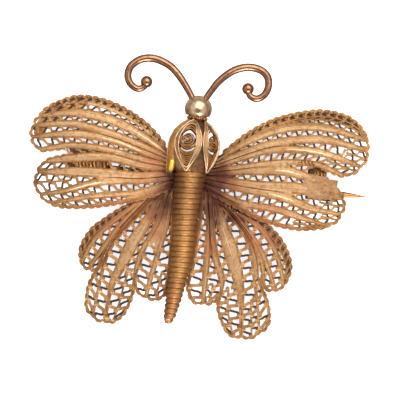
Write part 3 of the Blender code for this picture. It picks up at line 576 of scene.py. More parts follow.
class Metal:
    """Faces gathered for one piece: closed skins, each with its finish and its grain along it."""

    def __init__(self):
        self.places = []
        self.faces = []
        self.finishes = []
        self.grain = []

    def skin(self, loops, finishes=None, closed=False):
        """A skin through loops of points, capped or closed on itself; edge k of a loop has finish k, or
        all have the first."""
        first = len(self.places)
        sides = len(loops[0])
        finishes = finishes or [0] * sides
        reach = [0.0]
        for before, loop in zip(loops, loops[1:] + loops[:1]):
            reach.append(reach[-1] + (loop[0] - before[0]).length)
        for loop in loops:
            self.places += loop
        across = [0.0]
        middle = loops[len(loops) // 2]
        for a, b in zip(middle, middle[1:] + middle[:1]):
            across.append(across[-1] + (b - a).length)
        for row in range(len(loops) - (0 if closed else 1)):
            here, there = first + row * sides, first + (row + 1) % len(loops) * sides
            for k in range(sides):
                following = (k + 1) % sides
                self.faces.append((here + k, here + following, there + following, there + k))
                self.finishes.append(finishes[k])
                self.grain.append([(across[k], reach[row]), (across[k + 1], reach[row]),
                                   (across[k + 1], reach[row + 1]), (across[k], reach[row + 1])])
        if closed:
            return
        last = first + (len(loops) - 1) * sides
        for cap in (list(range(first, first + sides))[::-1], list(range(last, last + sides))):
            self.faces.append(tuple(cap))
            self.finishes.append(finishes[-1])
            self.grain.append([(0.0, 0.0)] * sides)

    def piece(self, name, materials):
        """A mesh object of all that was gathered, its faces pointing out."""
        mesh = bpy.data.meshes.new(name)
        mesh.from_pydata([tuple(p) for p in self.places], [], self.faces)
        for finish in materials:
            mesh.materials.append(finish)
        mesh.polygons.foreach_set("material_index", self.finishes)
        uv = mesh.uv_layers.new(name="wire")
        flat = [value for face in self.grain for corner in face for value in corner]
        uv.data.foreach_set("uv", flat)
        return shown(name, mesh)


def shown(name, mesh):
    """Puts a mesh that was made about the body axis into the frame as an object."""
    bm = bmesh.new()
    bm.from_mesh(mesh)
    bmesh.ops.recalc_face_normals(bm, faces=bm.faces)
    bm.to_mesh(mesh)
    bm.free()
    mesh.transform(Matrix.Translation(body_place))
    mesh.shade_smooth()
    mesh.set_sharp_from_angle(angle=smooth_angle)
    made = bpy.data.objects.new(name, mesh)
    bpy.context.collection.objects.link(made)
    return made


def declare(piece, *nodes, slot_name="satin_gilt", body="frame"):
    """Says what a finished piece moves with, and hides the solids it stands for; its finish, slot_name, is
    not used.
    """
    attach(piece, body)
    if nodes:
        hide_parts(*nodes)


class Paths:
    """Guide lines for wires, with a value at each point for each named thing."""

    def __init__(self, **kinds):
        self.places = []
        self.edges = []
        self.kinds = kinds
        self.values = {name: [] for name in kinds}

    def line(self, places, **values):
        """Adds one line; a value may be one for all its points or a list."""
        first = len(self.places)
        self.places += places
        self.edges += [(first + k, first + k + 1) for k in range(len(places) - 1)]
        for name in self.kinds:
            value = values[name]
            self.values[name] += value if isinstance(value, list) else [value] * len(places)

    def made_with(self, tree, name, finish, **inputs):
        """The mesh that a node tree makes along the lines, as an object in the frame."""
        guide = bpy.data.meshes.new(name + "_guide")
        guide.from_pydata([tuple(p) for p in self.places], self.edges, [])
        for label, kind in self.kinds.items():
            attribute = guide.attributes.new(label, kind, "POINT")
            if kind == "FLOAT_VECTOR":
                attribute.data.foreach_set("vector", [c for v in self.values[label] for c in v])
            else:
                attribute.data.foreach_set("value", self.values[label])
        holder = bpy.data.objects.new(name + "_guide", guide)
        bpy.context.collection.objects.link(holder)
        modifier = holder.modifiers.new(name, "NODES")
        modifier.node_group = tree
        inputs["Finish"] = finish
        for item in tree.interface.items_tree:
            if item.in_out == "INPUT" and item.name in inputs:
                modifier[item.identifier] = inputs[item.name]
        graph = bpy.context.evaluated_depsgraph_get()
        mesh = bpy.data.meshes.new_from_object(holder.evaluated_get(graph), depsgraph=graph)
        mesh.name = name
        bpy.data.objects.remove(holder, do_unlink=True)
        bpy.data.meshes.remove(guide)
        return shown(name, mesh)


def wire_tree(name, **sizes):
    """An empty node tree for wires, with its geometry, finish and size inputs."""
    tree = bpy.data.node_groups.new(name, "GeometryNodeTree")
    tree.interface.new_socket("Geometry", in_out="INPUT", socket_type="NodeSocketGeometry")
    tree.interface.new_socket("Finish", in_out="INPUT", socket_type="NodeSocketMaterial")
    for label, value in sizes.items():
        kind = "NodeSocketInt" if isinstance(value, int) else "NodeSocketFloat"
        tree.interface.new_socket(label, in_out="INPUT", socket_type=kind).default_value = value
    tree.interface.new_socket("Geometry", in_out="OUTPUT", socket_type="NodeSocketGeometry")
    return tree, tree.nodes.new("NodeGroupInput").outputs


def end_tree(tree, geometry, finish):
    """Ends a tree: instances made real, and the finish set."""
    real = node(tree, "GeometryNodeRealizeInstances", {"Geometry": geometry})
    done = node(tree, "GeometryNodeSetMaterial", {"Geometry": real, "Material": finish})
    node(tree, "NodeGroupOutput", {"Geometry": done})
    return tree


def stepped_curve(tree, given):
    """The guide lines as curves with a point every Step."""
    curve = node(tree, "GeometryNodeMeshToCurve", {"Mesh": given["Geometry"]})
    return node(tree, "GeometryNodeResampleCurve", {"Curve": curve, "Length": given["Step"]}, mode="LENGTH")


def crinkle_tree():
    """Flat wire on its edge, bent to and fro across a guide line: phase counts the bends, across is how
    far they reach, and swell is how far each loop bulges along the line. Arches of 1 puts every bend on
    the same side. Loops lie in pairs: solder, as much as joint says, makes the wire Thick at its bends
    and at every second crossing, and it stays Thin at the others. The same value is stored for the net's
    material, which paints the wire darker where it is low: painted shade."""
    tree, given = wire_tree("crinkled_net_wire", Step=0.085 * MM, Thickness=net_wire, Height=net_height,
                            Squareness=0.9, Arches=0.0, Thin=1.6, Thick=2.4, Bead=1.45)
    curve = stepped_curve(tree, given)
    phase, swell, joint = (node(tree, "GeometryNodeInputNamedAttribute", {"Name": label}, data_type="FLOAT")
                           for label in ("phase", "swell", "joint"))
    across = node(tree, "GeometryNodeInputNamedAttribute", {"Name": "across"}, data_type="FLOAT_VECTOR")
    wave = node(tree, "ShaderNodeMath", {0: phase}, operation="SINE")
    side = node(tree, "ShaderNodeMath", {0: wave}, operation="SIGN")
    side = node(tree, "ShaderNodeMix", {0: given["Arches"], 2: side, 3: 1.0})
    size = node(tree, "ShaderNodeMath", {0: wave}, operation="ABSOLUTE")
    size = node(tree, "ShaderNodeMath", {0: size, 1: given["Squareness"]}, operation="POWER")
    wave = node(tree, "ShaderNodeMath", {0: size, 1: side}, operation="MULTIPLY")
    twice = node(tree, "ShaderNodeMath", {0: phase, 1: 2.0}, operation="MULTIPLY")
    lean = node(tree, "ShaderNodeMath", {0: twice}, operation="SINE")
    lean = node(tree, "ShaderNodeMath", {0: lean, 1: swell}, operation="MULTIPLY")
    lean = node(tree, "ShaderNodeMath", {0: lean, 1: -1.0}, operation="MULTIPLY")
    ahead = node(tree, "GeometryNodeInputTangent")
    sideways = node(tree, "ShaderNodeVectorMath", {0: across, "Scale": wave}, operation="SCALE")
    forward = node(tree, "ShaderNodeVectorMath", {0: ahead, "Scale": lean}, operation="SCALE")
    offset = node(tree, "ShaderNodeVectorMath", {0: sideways, 1: forward}, operation="ADD")
    crossing = node(tree, "ShaderNodeMath", {0: phase}, operation="COSINE")
    solder_and_shade = node(tree, "ShaderNodeMapRange", {"Value": crossing, "From Min": 0.85, "From Max": -0.05})
    solder_and_shade = node(tree, "ShaderNodeMath", {0: solder_and_shade, 1: joint}, operation="MULTIPLY")
    # Stored for the net's material as well, which paints the wire darker where this is low: painted shade.
    curve = node(tree, "GeometryNodeStoreNamedAttribute",
                 {"Geometry": curve, "Name": "solder_and_shade", "Value": solder_and_shade}, data_type="FLOAT", domain="POINT")
    reach = node(tree, "ShaderNodeVectorMath", {0: across}, operation="LENGTH", out="Value")
    room = node(tree, "ShaderNodeMapRange", {"Value": reach, "From Min": 0.1 * MM, "From Max": 0.5 * MM,
                                             "To Min": 0.5})
    bend = node(tree, "ShaderNodeMath", {0: size, 1: 3.0}, operation="POWER")
    bead = node(tree, "ShaderNodeMapRange", {"Value": bend, "To Min": 0.85, "To Max": given["Bead"]})
    thick = node(tree, "ShaderNodeMath", {0: given["Thick"], 1: room}, operation="MULTIPLY")
    thick = node(tree, "ShaderNodeMath", {0: thick, 1: bead}, operation="MULTIPLY")
    gauge = node(tree, "ShaderNodeMapRange", {"Value": solder_and_shade, "To Min": given["Thin"], "To Max": thick})
    curve = node(tree, "GeometryNodeSetPosition", {"Geometry": curve, "Offset": offset})
    curve = node(tree, "GeometryNodeSetCurveNormal", {"Curve": curve}, mode="Z_UP")
    profile = node(tree, "GeometryNodeCurvePrimitiveQuadrilateral",
                   {"Width": given["Thickness"], "Height": given["Height"]}, mode="RECTANGLE")
    mesh = node(tree, "GeometryNodeCurveToMesh",
                {"Curve": curve, "Profile Curve": profile, "Scale": gauge, "Fill Caps": True})
    return end_tree(tree, mesh, given["Finish"])


def drawn_tree():
    """Round wire along a guide line, as thick as the line's gauge says, flattened by Flatness."""
    tree, given = wire_tree("drawn_wire", Step=0.15 * MM, Sides=6, Flatness=1.0)
    curve = stepped_curve(tree, given)
    gauge = node(tree, "GeometryNodeInputNamedAttribute", {"Name": "gauge"}, data_type="FLOAT")
    curve = node(tree, "GeometryNodeSetCurveNormal", {"Curve": curve}, mode="Z_UP")
    circle = node(tree, "GeometryNodeCurvePrimitiveCircle", {"Resolution": given["Sides"], "Radius": 1.0},
                  mode="RADIUS")
    squash = node(tree, "ShaderNodeCombineXYZ", {"X": 1.0, "Y": given["Flatness"], "Z": 1.0})
    profile = node(tree, "GeometryNodeTransform", {"Geometry": circle, "Scale": squash})
    mesh = node(tree, "GeometryNodeCurveToMesh",
                {"Curve": curve, "Profile Curve": profile, "Scale": gauge, "Fill Caps": True})
    return end_tree(tree, mesh, given["Finish"])


def winding_tree():
    """Wire wound round a guide line: a turn for each Pitch of its length, at the line's own radius."""
    tree, given = wire_tree("wound_wire", Step=0.02 * MM, Pitch=ring_pitch, Gauge=winding_wire, Sides=6)
    curve = stepped_curve(tree, given)
    radius = node(tree, "GeometryNodeInputNamedAttribute", {"Name": "radius"}, data_type="FLOAT")
    along = node(tree, "GeometryNodeSplineParameter", out="Length")
    turns = node(tree, "ShaderNodeMath", {0: along, 1: given["Pitch"]}, operation="DIVIDE")
    angle = node(tree, "ShaderNodeMath", {0: turns, 1: 2 * math.pi}, operation="MULTIPLY")
    sine, cosine = (node(tree, "ShaderNodeMath", {0: angle}, operation=wave) for wave in ("SINE", "COSINE"))
    upward = node(tree, "ShaderNodeCombineXYZ", {"Z": 1.0})
    ahead = node(tree, "GeometryNodeInputTangent")
    beside = node(tree, "ShaderNodeVectorMath", {0: ahead, 1: upward}, operation="CROSS_PRODUCT")
    beside = node(tree, "ShaderNodeVectorMath", {0: beside}, operation="NORMALIZE")
    out = node(tree, "ShaderNodeVectorMath", {0: beside, "Scale": sine}, operation="SCALE")
    rise = node(tree, "ShaderNodeVectorMath", {0: upward, "Scale": cosine}, operation="SCALE")
    around = node(tree, "ShaderNodeVectorMath", {0: out, 1: rise}, operation="ADD")
    offset = node(tree, "ShaderNodeVectorMath", {0: around, "Scale": radius}, operation="SCALE")
    curve = node(tree, "GeometryNodeSetPosition", {"Geometry": curve, "Offset": offset})
    circle = node(tree, "GeometryNodeCurvePrimitiveCircle",
                  {"Resolution": given["Sides"], "Radius": given["Gauge"]}, mode="RADIUS")
    mesh = node(tree, "GeometryNodeCurveToMesh", {"Curve": curve, "Profile Curve": circle, "Fill Caps": True})
    return end_tree(tree, mesh, given["Finish"])


def beads_tree():
    """A small ball at each point of the guide, as large as the point's gauge says."""
    tree, given = wire_tree("row_of_beads")
    gauge = node(tree, "GeometryNodeInputNamedAttribute", {"Name": "gauge"}, data_type="FLOAT")
    ball = node(tree, "GeometryNodeMeshUVSphere", {"Segments": 12, "Rings": 8, "Radius": 1.0})
    placed = node(tree, "GeometryNodeInstanceOnPoints",
                  {"Points": given["Geometry"], "Instance": ball, "Scale": gauge})
    return end_tree(tree, placed, given["Finish"])


crinkled = crinkle_tree()
drawn = drawn_tree()
wound = winding_tree()
beaded = beads_tree()


def along_rib(first, last):
    """Stations of a rib from one share of its length to another."""
    return range(int(first * STATIONS), int(last * STATIONS) + 1)


class Wing:
    """One wing in plan: its ribs' lines and edges, and the heights of its work."""

    def __init__(self, name, side, ribs, nets, roots, dive, underside, seed):
        self.name = name
        self.ribs = ribs
        self.nets = nets
        self.dive = Vector((dive[0] * side, dive[1], dive[2]))
        self.underside = underside
        self.chance = random.Random(seed)
        self.shares = [k / STATIONS for k in range(STATIONS + 1)]
        self.widest_row = forewing_row if "fore" in name else hindwing_row
        self.metal = Metal()
        bends = {"phase": "FLOAT", "across": "FLOAT_VECTOR", "swell": "FLOAT", "joint": "FLOAT"}
        self.net = Paths(**bends)
        self.chains = Paths(**bends)
        self.scallops = Paths(**bends)
        self.strands = Paths(gauge="FLOAT")
        self.crest_highlights = Paths(gauge="FLOAT")
        self.lines = []
        for (_, _, _, _, points), root in zip(ribs, roots):
            route = [root] + [(out * wing_reach, up * wing_reach) for out, up in points]
            self.lines.append(smooth_points([(x * side, y, 0.0) for x, y in route], self.shares))
        self.front, self.back = [], []
        for i in range(len(ribs)):
            front, back = [], []
            for k, share in enumerate(self.shares):
                half = self.half_width(i, share)
                here = self.lines[i][k]
                before = self.lines[i - 1][k] if i else here * 2 - self.lines[1][k]
                after = self.lines[i + 1][k] if i + 1 < len(ribs) else here * 2 - self.lines[i - 1][k]
                for row, other in ((front, before), (back, after)):
                    step = other - here
                    row.append(here + step * min(0.45, half / step.length))
            self.front.append(front)
            self.back.append(back)

    def half_width(self, i, share):
        """Half the width of a rib, which ends as one wire at the wing's edge."""
        _, at_root, at_middle, at_tip, _ = self.ribs[i]
        widths = [(0.0, at_root, 0.0), (0.2, at_root + (at_middle - at_root) * 0.7, 0.7),
                  (0.45, at_middle, 1.0), (0.72, at_middle, 1.0), (0.92, at_tip * 0.8, 0.6),
                  (1.0, tip_width, 0.0)]
        if at_middle > leaf_width:
            widths = [(0.0, at_root, 0.0), (0.18, at_middle * 0.8, 1.0), (0.36, at_middle * 1.15, 1.0),
                      (0.5, at_middle * 0.9, 1.0), (0.62, at_middle * 0.62, 1.0),
                      (0.74, at_middle * 0.36, 0.4), (0.82, at_middle * 0.18, 0.0), (1.0, tip_width, 0.0)]
        extra = rib_extra if "fore" in self.name else hindwing_extra
        half = (between(widths, share, 1) * wing_reach + between(widths, share, 2) * extra) / 2
        if at_middle <= narrow_width:
            half = max(0.5 * (half - extra / 2), 0.08 * MM)
        rib, strip, first, last = CHAINS[self.name]
        if rib == i and first < share < last:
            half = max(half, min(strip * MM, half + (share - first) * 0.1 * wing_reach))
        return half

    def height(self, place, rise):
        """A plan place lifted above the wing's underside."""
        return Vector((place.x, place.y, self.underside(place.x, place.y) + rise))

    def inside(self, i, t, k):
        """A place between rib i (t = 0) and the next (t = 1), bulging past the chord of their tips."""
        a, b = self.back[i][k], self.front[i + 1][k]
        place = a.lerp(b, t)
        share = self.shares[k]
        if share > 0.7:
            step, next_step = (self.lines[j][k] - self.lines[j][k - 1] for j in (i, i + 1))
            ahead = step.lerp(next_step, t)
            bulge = (b - a).length * 0.22 * ((share - 0.7) / 0.3) ** 2
            place = place + ahead.normalized() * bulge * 4 * t * (1 - t)
        return place

    def sheet(self, first, last, points, place_at, top_at, finish):
        """A thin skin of the wing from one share of its length to another: place_at gives a place for
        t from 0 to 1 across it, and top_at how high its upper face stands."""
        loops = []
        for k in along_rib(first, last):
            row = [(place_at(j / (points - 1), k), j / (points - 1)) for j in range(points)]
            loop = [self.height(place, top_at(t, k)) for place, t in row]
            loop += [self.height(row[-1][0], edge_lift), self.height(row[0][0], edge_lift)]
            loops.append(loop)
        if len(loops) < 2:
            return
        if not first:
            loops.insert(0, [p + self.dive for p in loops[0]])
        # The sides and underside take the brown or dull material: painted shade on the walls.
        self.metal.skin(loops, [finish] * (points - 1) + [max(finish, BROWN)] * 3)

    def ribs_metal(self):
        """The ribs: low domes of parallel drawn wires whose sides are painted darker as shade; the narrow
        ones are brown.
        """
        chained = CHAINS[self.name][0]
        for i in range(len(self.ribs)):
            widest = max(self.half_width(i, s) for s in self.shares) * 2
            wires = max(2, round(widest / rib_wire_pitch))

            def place_at(t, k):
                edge = self.front[i][k] if t < 0.5 else self.back[i][k]
                return self.lines[i][k].lerp(edge, abs(2 * t - 1))

            def top_at(t, k):
                narrow = min(1.0, self.half_width(i, self.shares[k]) * 2 / widest)
                dome = 4 * t * (1 - t) * rib_dome * (0.35 + 0.65 * narrow)
                if i == chained:
                    return web_height
                return rib_lift + dome + abs(math.sin(math.pi * wires * t)) * rib_wire_height

            finish = GOLD if self.ribs[i][2] > narrow_width and i != chained else BROWN
            self.sheet(0.0, 1.0, wires * 4 + 1, place_at, top_at, finish)

    def closed_metal(self):
        """Metal between ribs where no light comes through: ridged and level with them where it is gold,
        and low under the crinkled wire where it is dull. Gold ends in a point along either rib."""
        fork = 0.09
        near, far = -0.08, 1.08
        stretches = [(i, near, far, 0.0, closed, finish, 0.5)
                     for i, (closed, finish, _) in enumerate(self.nets)]
        stretches += [(*row, 0.5) for row in BACKED.get(self.name, [])]
        for i, (closed, finish, end) in enumerate(self.nets):
            if finish == GOLD and closed < end:
                stretches.append((i, near, 0.5, closed, min(closed + fork, end), GOLD, 0.0))
                stretches.append((i, 0.5, far, closed, min(closed + fork, end), GOLD, 1.0))
        for i, low, high, first, last, finish, point in stretches:
            wires = max(1, round(4 * (high - low)))

            def place_at(t, k):
                share = (self.shares[k] - first) / (last - first)
                keep = 1.0 if point == 0.5 else 1 - 0.95 * share
                goal = low if point == 0.0 else high
                return self.inside(i, goal + (low + (high - low) * t - goal) * keep, k)

            def top_at(t, k):
                ridge = abs(math.sin(math.pi * wires * t)) * rib_wire_height
                return rib_lift + fold_height + ridge if finish == GOLD else web_height

            self.sheet(first, last, wires * 4 + 1 if finish == GOLD else 4, place_at, top_at, finish)

    def rows(self, i, low, high, first, last):
        """Fills the band between rib i and the next, from t = low to t = high, with crinkled wire; where
        it gets wide, a strand splits it into two rows."""
        places, across = [], []
        k = first
        while k <= last:
            a, b = self.inside(i, low, k), self.inside(i, high, k)
            if (b - a).length > self.widest_row and k < last - 4:
                break
            half = (b - a) / 2
            places.append((a + b) / 2)
            across.append(half * max(0.45, 1 - row_gap / half.length))
            k += 1
        if len(places) > 2:
            self.crinkle(self.net, places, across, shares=self.shares[first:first + len(places)])
        if k < last:
            middle = low + (high - low) * (0.5 + self.chance.uniform(-0.08, 0.08))
            line = [self.height(self.inside(i, middle, j), strand_lift)
                    for j in range(max(k - 1, 0), last + 1)]
            self.strands.line(line, gauge=strand_radius)
            self.rows(i, low, middle, k - 1, last)
            self.rows(i, middle, high, k - 1, last)

    def crinkle(self, wires, places, across, pitch=None, shares=()):
        """One crinkled wire, with shorter loops where the row is narrow and less solder at the tips."""
        phase = [self.chance.uniform(0, math.pi)]
        swell = []
        for k in range(len(places)):
            width = across[k].length * 2
            hole = pitch or min(hole_least + 0.24 * width, hole_most)
            if k:
                step = (places[k] - places[k - 1]).length
                phase.append(phase[-1] + math.pi * step / hole * self.chance.uniform(*loop_lengths))
            swell.append(hole * 0.1 * min(width / (0.8 * MM), 1.0))
        lift = chain_lift if pitch else net_lift
        joint = [1 - 0.25 * max(share - 0.7, 0.0) / 0.3 for share in shares] or 1.0
        wires.line([self.height(p, lift) for p in places], phase=phase, across=across, swell=swell,
                   joint=joint)

    def nets_metal(self):
        """The crinkled wires of each net, and thin rims where they are soldered along the ribs."""
        for i, (closed, finish, end) in enumerate(self.nets):
            last = int(end * STATIONS)
            first = int(closed * STATIONS) if finish == GOLD else 3
            if last - first < 3:
                continue
            part, doubled = PARTED.get(self.name, {}).get(i, (0.0, False))
            if part:
                strand = [self.height(self.inside(i, part, k), strand_lift) for k in range(first, last + 1)]
                self.strands.line(strand, gauge=strand_radius if doubled else fine_strand_radius)
            if doubled:
                self.rows(i, 0.0, part, first, last)
            self.rows(i, part, 1.0, first, last)
            for t in (0.0, 1.0) if doubled or not part else (1.0,):
                rim = [self.height(self.inside(i, t, k), rib_lift) for k in range(first, last + 1)]
                self.strands.line(rim, gauge=rim_radius)

    def chains_metal(self):
        """Closely crinkled wire along the borders, and pale wires on the crests of the ribs that paint
        highlights.
        """
        i, _, first, last = CHAINS[self.name]
        across = [(self.back[i][k] - self.front[i][k]) / 2 * 0.9 for k in along_rib(first, last)]
        places = [self.lines[i][k] for k in along_rib(first, last)]
        self.crinkle(self.chains, places, across, chain_pitch)
        # Pale wires along the ribs' crests: painted highlights.
        for i, first, last in CREST_HIGHLIGHTS[self.name]:
            line = [self.height(self.lines[i][k], rib_lift + rib_dome) for k in along_rib(first, last)]
            swing = [math.sin(math.pi * (j + 0.5) / len(line)) for j in range(len(line))]
            self.crest_highlights.line(line, gauge=[crest_highlight_radius * (0.3 + 0.7 * s) for s in swing])

    def lobes(self):
        """The ranges of ribs that share one rounded end."""
        found, first = [], 0
        for i, (_, _, end) in enumerate(self.nets):
            if end < 1:
                found.append((first, i))
                first = i + 1
        return found + [(first, len(self.ribs) - 1)]

    def outline(self, first, last):
        """The edge of a lobe in plan, from the front of its root or notch round to the back."""
        def notch(i):
            return 2 if i < 0 or i >= len(self.nets) else int(self.nets[i][2] * STATIONS)
        edge = [self.front[first][k] for k in range(notch(first - 1), STATIONS)]
        for i in range(first, last):
            edge += [self.inside(i, t / 6, STATIONS) for t in range(0 if i > first else 1, 6)]
        edge += [self.back[last][k] for k in range(STATIONS, notch(last) - 1, -1)]
        return edge

    def borders(self):
        """A round wire along the edge of each lobe, and on it a wire bent into scallops."""
        for first, last in self.lobes():
            edge = smooth_points(self.outline(first, last), [k / 240 for k in range(241)])
            self.strands.line([self.height(p, border_lift) for p in edge], gauge=border_radius)
            turned = math.copysign(1, sum(a.x * b.y - b.x * a.y for a, b in zip(edge, edge[1:] + edge[:1])))
            across, phase = [], [0.0]
            for k, p in enumerate(edge):
                ahead = (edge[min(k + 1, len(edge) - 1)] - edge[max(k - 1, 0)]).normalized()
                out = ahead.cross(UP) * turned
                across.append(out * scallop_height * self.chance.uniform(0.9, 1.1))
                if k:
                    phase.append(phase[-1] + math.pi * (p - edge[k - 1]).length / scallop_pitch)
            self.scallops.line([self.height(p, scallop_lift) for p in edge], phase=phase, across=across,
                               swell=0.0, joint=1.0)

    def build(self):
        """All the pieces of the wing, which stand for its one solid."""
        self.ribs_metal()
        self.closed_metal()
        self.nets_metal()
        self.chains_metal()
        self.borders()
        name = self.name
        declare(self.metal.piece(name + "_ribs", [satin_gilt, border_gilt, dull_gilt_and_shade]), name)
        thin, thick = forewing_gauges if "fore" in name else hindwing_gauges
        declare(self.net.made_with(crinkled, name + "_net", net_gilt, Thin=thin, Thick=thick))
        declare(self.strands.made_with(drawn, name + "_strands", border_gilt))
        declare(self.crest_highlights.made_with(drawn, name + "_crest_highlights", pale_highlight_gilt, Flatness=0.5))
        declare(self.chains.made_with(crinkled, name + "_chains", net_gilt, Step=0.07 * MM,
                                      Thick=1.7, Bead=1.2))
        declare(self.scallops.made_with(crinkled, name + "_scallops", border_gilt, Thickness=scallop_wire,
                                        Squareness=0.7, Arches=1.0, Thin=0.9, Thick=1.2,
                                        Bead=0.85))


def abdomen_axis(share):
    """Centre and radius of the abdomen at a share of its length; below 0 it runs into the thorax."""
    _, lean, wide, sink = (between(ABDOMEN_SECTIONS, max(share, 0), c) if c else share for c in range(4))
    y = thorax_tail_y - 0.3 * MM - share * abdomen_length
    return Vector((lean * abdomen_radius, y, body_height - sink * abdomen_radius)), wide * abdomen_radius


def abdomen():
    """Round wire wound over a tapered core, from inside the cage to a small end knob."""
    steps = 330
    places, radii = [], []
    for k in range(steps + 1):
        place, radius = abdomen_axis(-0.03 + 1.03 * k / steps)
        places.append(place)
        radii.append(max(radius + 0.1 * MM - winding_wire, 0.06 * MM))
    # The core is dark dull gilt: painted shade in the valleys between the turns.
    core = Metal()
    loops = [[place + Vector((math.sin(a), 0, math.cos(a))) * radius for a in ring(40)]
             for place, radius in zip(places, radii)]
    core.skin(loops)
    declare(core.piece("abdomen_core", [dull_gilt_and_shade]), "abdomen")
    winding = Paths(radius="FLOAT")
    winding.line(places, radius=radii)
    declare(winding.made_with(wound, "abdomen_winding", wound_gilt, Sides=12))
    knob = Metal()
    place, radius = abdomen_axis(1.0)
    knob_radius = radius * 1.5
    turns = [math.pi * (0.02 + 0.96 * k / 12) for k in range(13)]
    loops = [[place + Vector((math.sin(a) * math.sin(t), -math.cos(t) * 0.8 + 0.5, math.cos(a) * math.sin(t)))
              * knob_radius for a in ring(20)] for t in turns]
    knob.skin(loops)
    declare(knob.piece("abdomen_knob", [polished_gilt]))


def on_thorax(y, turn, sink=0.0):
    """A place on the thorax's bud, at a height up the body and an angle from its top."""
    wide = between(THORAX_SECTIONS, min(max(thorax_share(y), 0.0), 1.0), 1)
    across = wide * thorax_half_width - sink
    deep = wide * thorax_half_depth - sink
    return Vector((across * math.sin(turn), y, body_height + deep * math.cos(turn)))


def petal_half(t):
    """Half the angle that a petal spans at a share of its length from the head."""
    return PETAL_HALF_ANGLE * between(PETAL_SECTIONS, min(max(t, 0.0), 1.0), 1)


def petal_edge(turn, share_of_width, sink):
    """A leaf outline on the bud round one petal's middle line, whose last point meets its first."""
    steps = 40
    inset = (1 - share_of_width) * 0.22
    places = []
    for way in (1, -1):
        for k in range(steps):
            t = k / steps if way > 0 else 1 - k / steps
            t = inset + t * (1 - 2 * inset)
            half = petal_half(t) * share_of_width if k else 0.0
            places.append(on_thorax(thorax_y(t), turn + way * half, sink))
    return places


def thorax():
    """Four leaf frames of flat strip with pale wire rims that paint highlights along their edges, each with a
    spiral eye and crescents in it, strips that close the gaps between leaves, and at the left a plain band
    with a painted yellow glint on it."""
    steps = 30
    strips = Metal()
    rims = Paths(gauge="FLOAT")
    scrolls = Paths(gauge="FLOAT")
    for petal in range(PETALS - 1):
        turn = PETAL_TURN + petal * 2 * math.pi / PETALS
        bands = [petal_edge(turn, w, s * MM) for w, s in ((0.98, 0.2), (0.82, 0.3), (0.66, 0.2), (0.66, 0.75),
                                                          (0.98, 0.75))]
        # The leaf's walls and underside take the dull gilt: painted shade.
        strips.skin([list(loop) for loop in zip(*bands)], [0, 0, 1, 1, 1], closed=True)
        for width, sink, gauge in ((1.0, 0.12, 0.12), (0.65, 0.14, 0.11)):
            edge = petal_edge(turn, width, sink * MM)
            rims.line(edge + edge[:1], gauge=gauge * MM)
        eye_y = 5.9 * MM
        spiral = []
        for k in range(spiral_steps + 1):
            a = 2 * math.pi * spiral_turns * k / spiral_steps
            r = 0.1 * MM + 1.0 * MM * k / spiral_steps
            spiral.append(on_thorax(eye_y + r * math.cos(a),
                                    turn + 1.25 * r * math.sin(a) / thorax_half_width, 0.3 * MM))
        scrolls.line(spiral, gauge=spiral_wire)
        for rise, bow in CRESCENTS:
            arc = []
            for k in range(17):
                u = -1 + k / 8
                y = eye_y + (rise - bow * u * u) * MM
                half = petal_half(thorax_share(y)) * 0.66
                arc.append(on_thorax(y, turn + u * half, 0.34 * MM))
            scrolls.line(arc, gauge=crescent_wire)
    # Gaps between leaves: the leaf before each, and its finish as a place in the strips' materials; the dull
    # gilt in the sunken gaps is painted shade.
    for petal, finish in ((0, 1), (1, 1), (3, 1), (4, 0)):
        middle = PETAL_TURN + (petal + 0.5) * 2 * math.pi / PETALS
        loops = []
        for k in range(steps + 1):
            t = k / steps
            half = math.pi / PETALS - petal_half(t) * 0.9
            y = thorax_y(t)
            sink = (0.4 if k % 2 else 0.5) * MM
            row = [on_thorax(y, middle + half * j / 4, sink) for j in range(-4, 5)]
            loops.append(row + [on_thorax(y, middle + half, 0.7 * MM), on_thorax(y, middle - half, 0.7 * MM)])
        strips.skin(loops, [finish] * 8 + [1] * 3)
    band = []
    for k in range(steps + 1):
        t = k / steps
        outer = Vector((-between(SIDE_BAND, t, 1) * thorax_half_width, thorax_y(1.06 * t),
                        body_height - 0.3 * MM))
        inner = outer + Vector((between(SIDE_BAND, t, 2) * MM, 0, 1.7 * MM))
        row = [outer.lerp(inner, j / 6) + Vector((-0.5, 0, 0.5)) * 0.35 * MM * math.sin(math.pi * j / 6)
               for j in range(7)]
        band.append(row + [inner - UP * 0.4 * MM, outer + Vector((0.4 * MM, 0, 0))])
    # The band's walls and underside take the dull gilt: painted shade.
    strips.skin(band, [2] * 6 + [1] * 3)
    rims.line([loop[0] for loop in band], gauge=0.09 * MM)
    declare(strips.piece("thorax_petals", [satin_gilt, dull_gilt_and_shade, side_gilt]), "thorax")
    # A painted yellow glint near the bottom of the side band.
    glint = Paths(gauge="FLOAT")
    glint.line([band[k][5] for k in range(23, 30)],
               gauge=[g * MM for g in (0.3, 0.38, 0.4, 0.4, 0.4, 0.36, 0.28)])
    declare(glint.made_with(drawn, "thorax_painted_glint", yellow_glint_gilt, Flatness=0.35, Sides=10))
    # The rims are drawn in the pale gilt: painted highlights along the leaves' edges.
    declare(rims.made_with(drawn, "thorax_rims", pale_highlight_gilt, Sides=8))
    declare(scrolls.made_with(drawn, "thorax_scrolls", border_gilt))


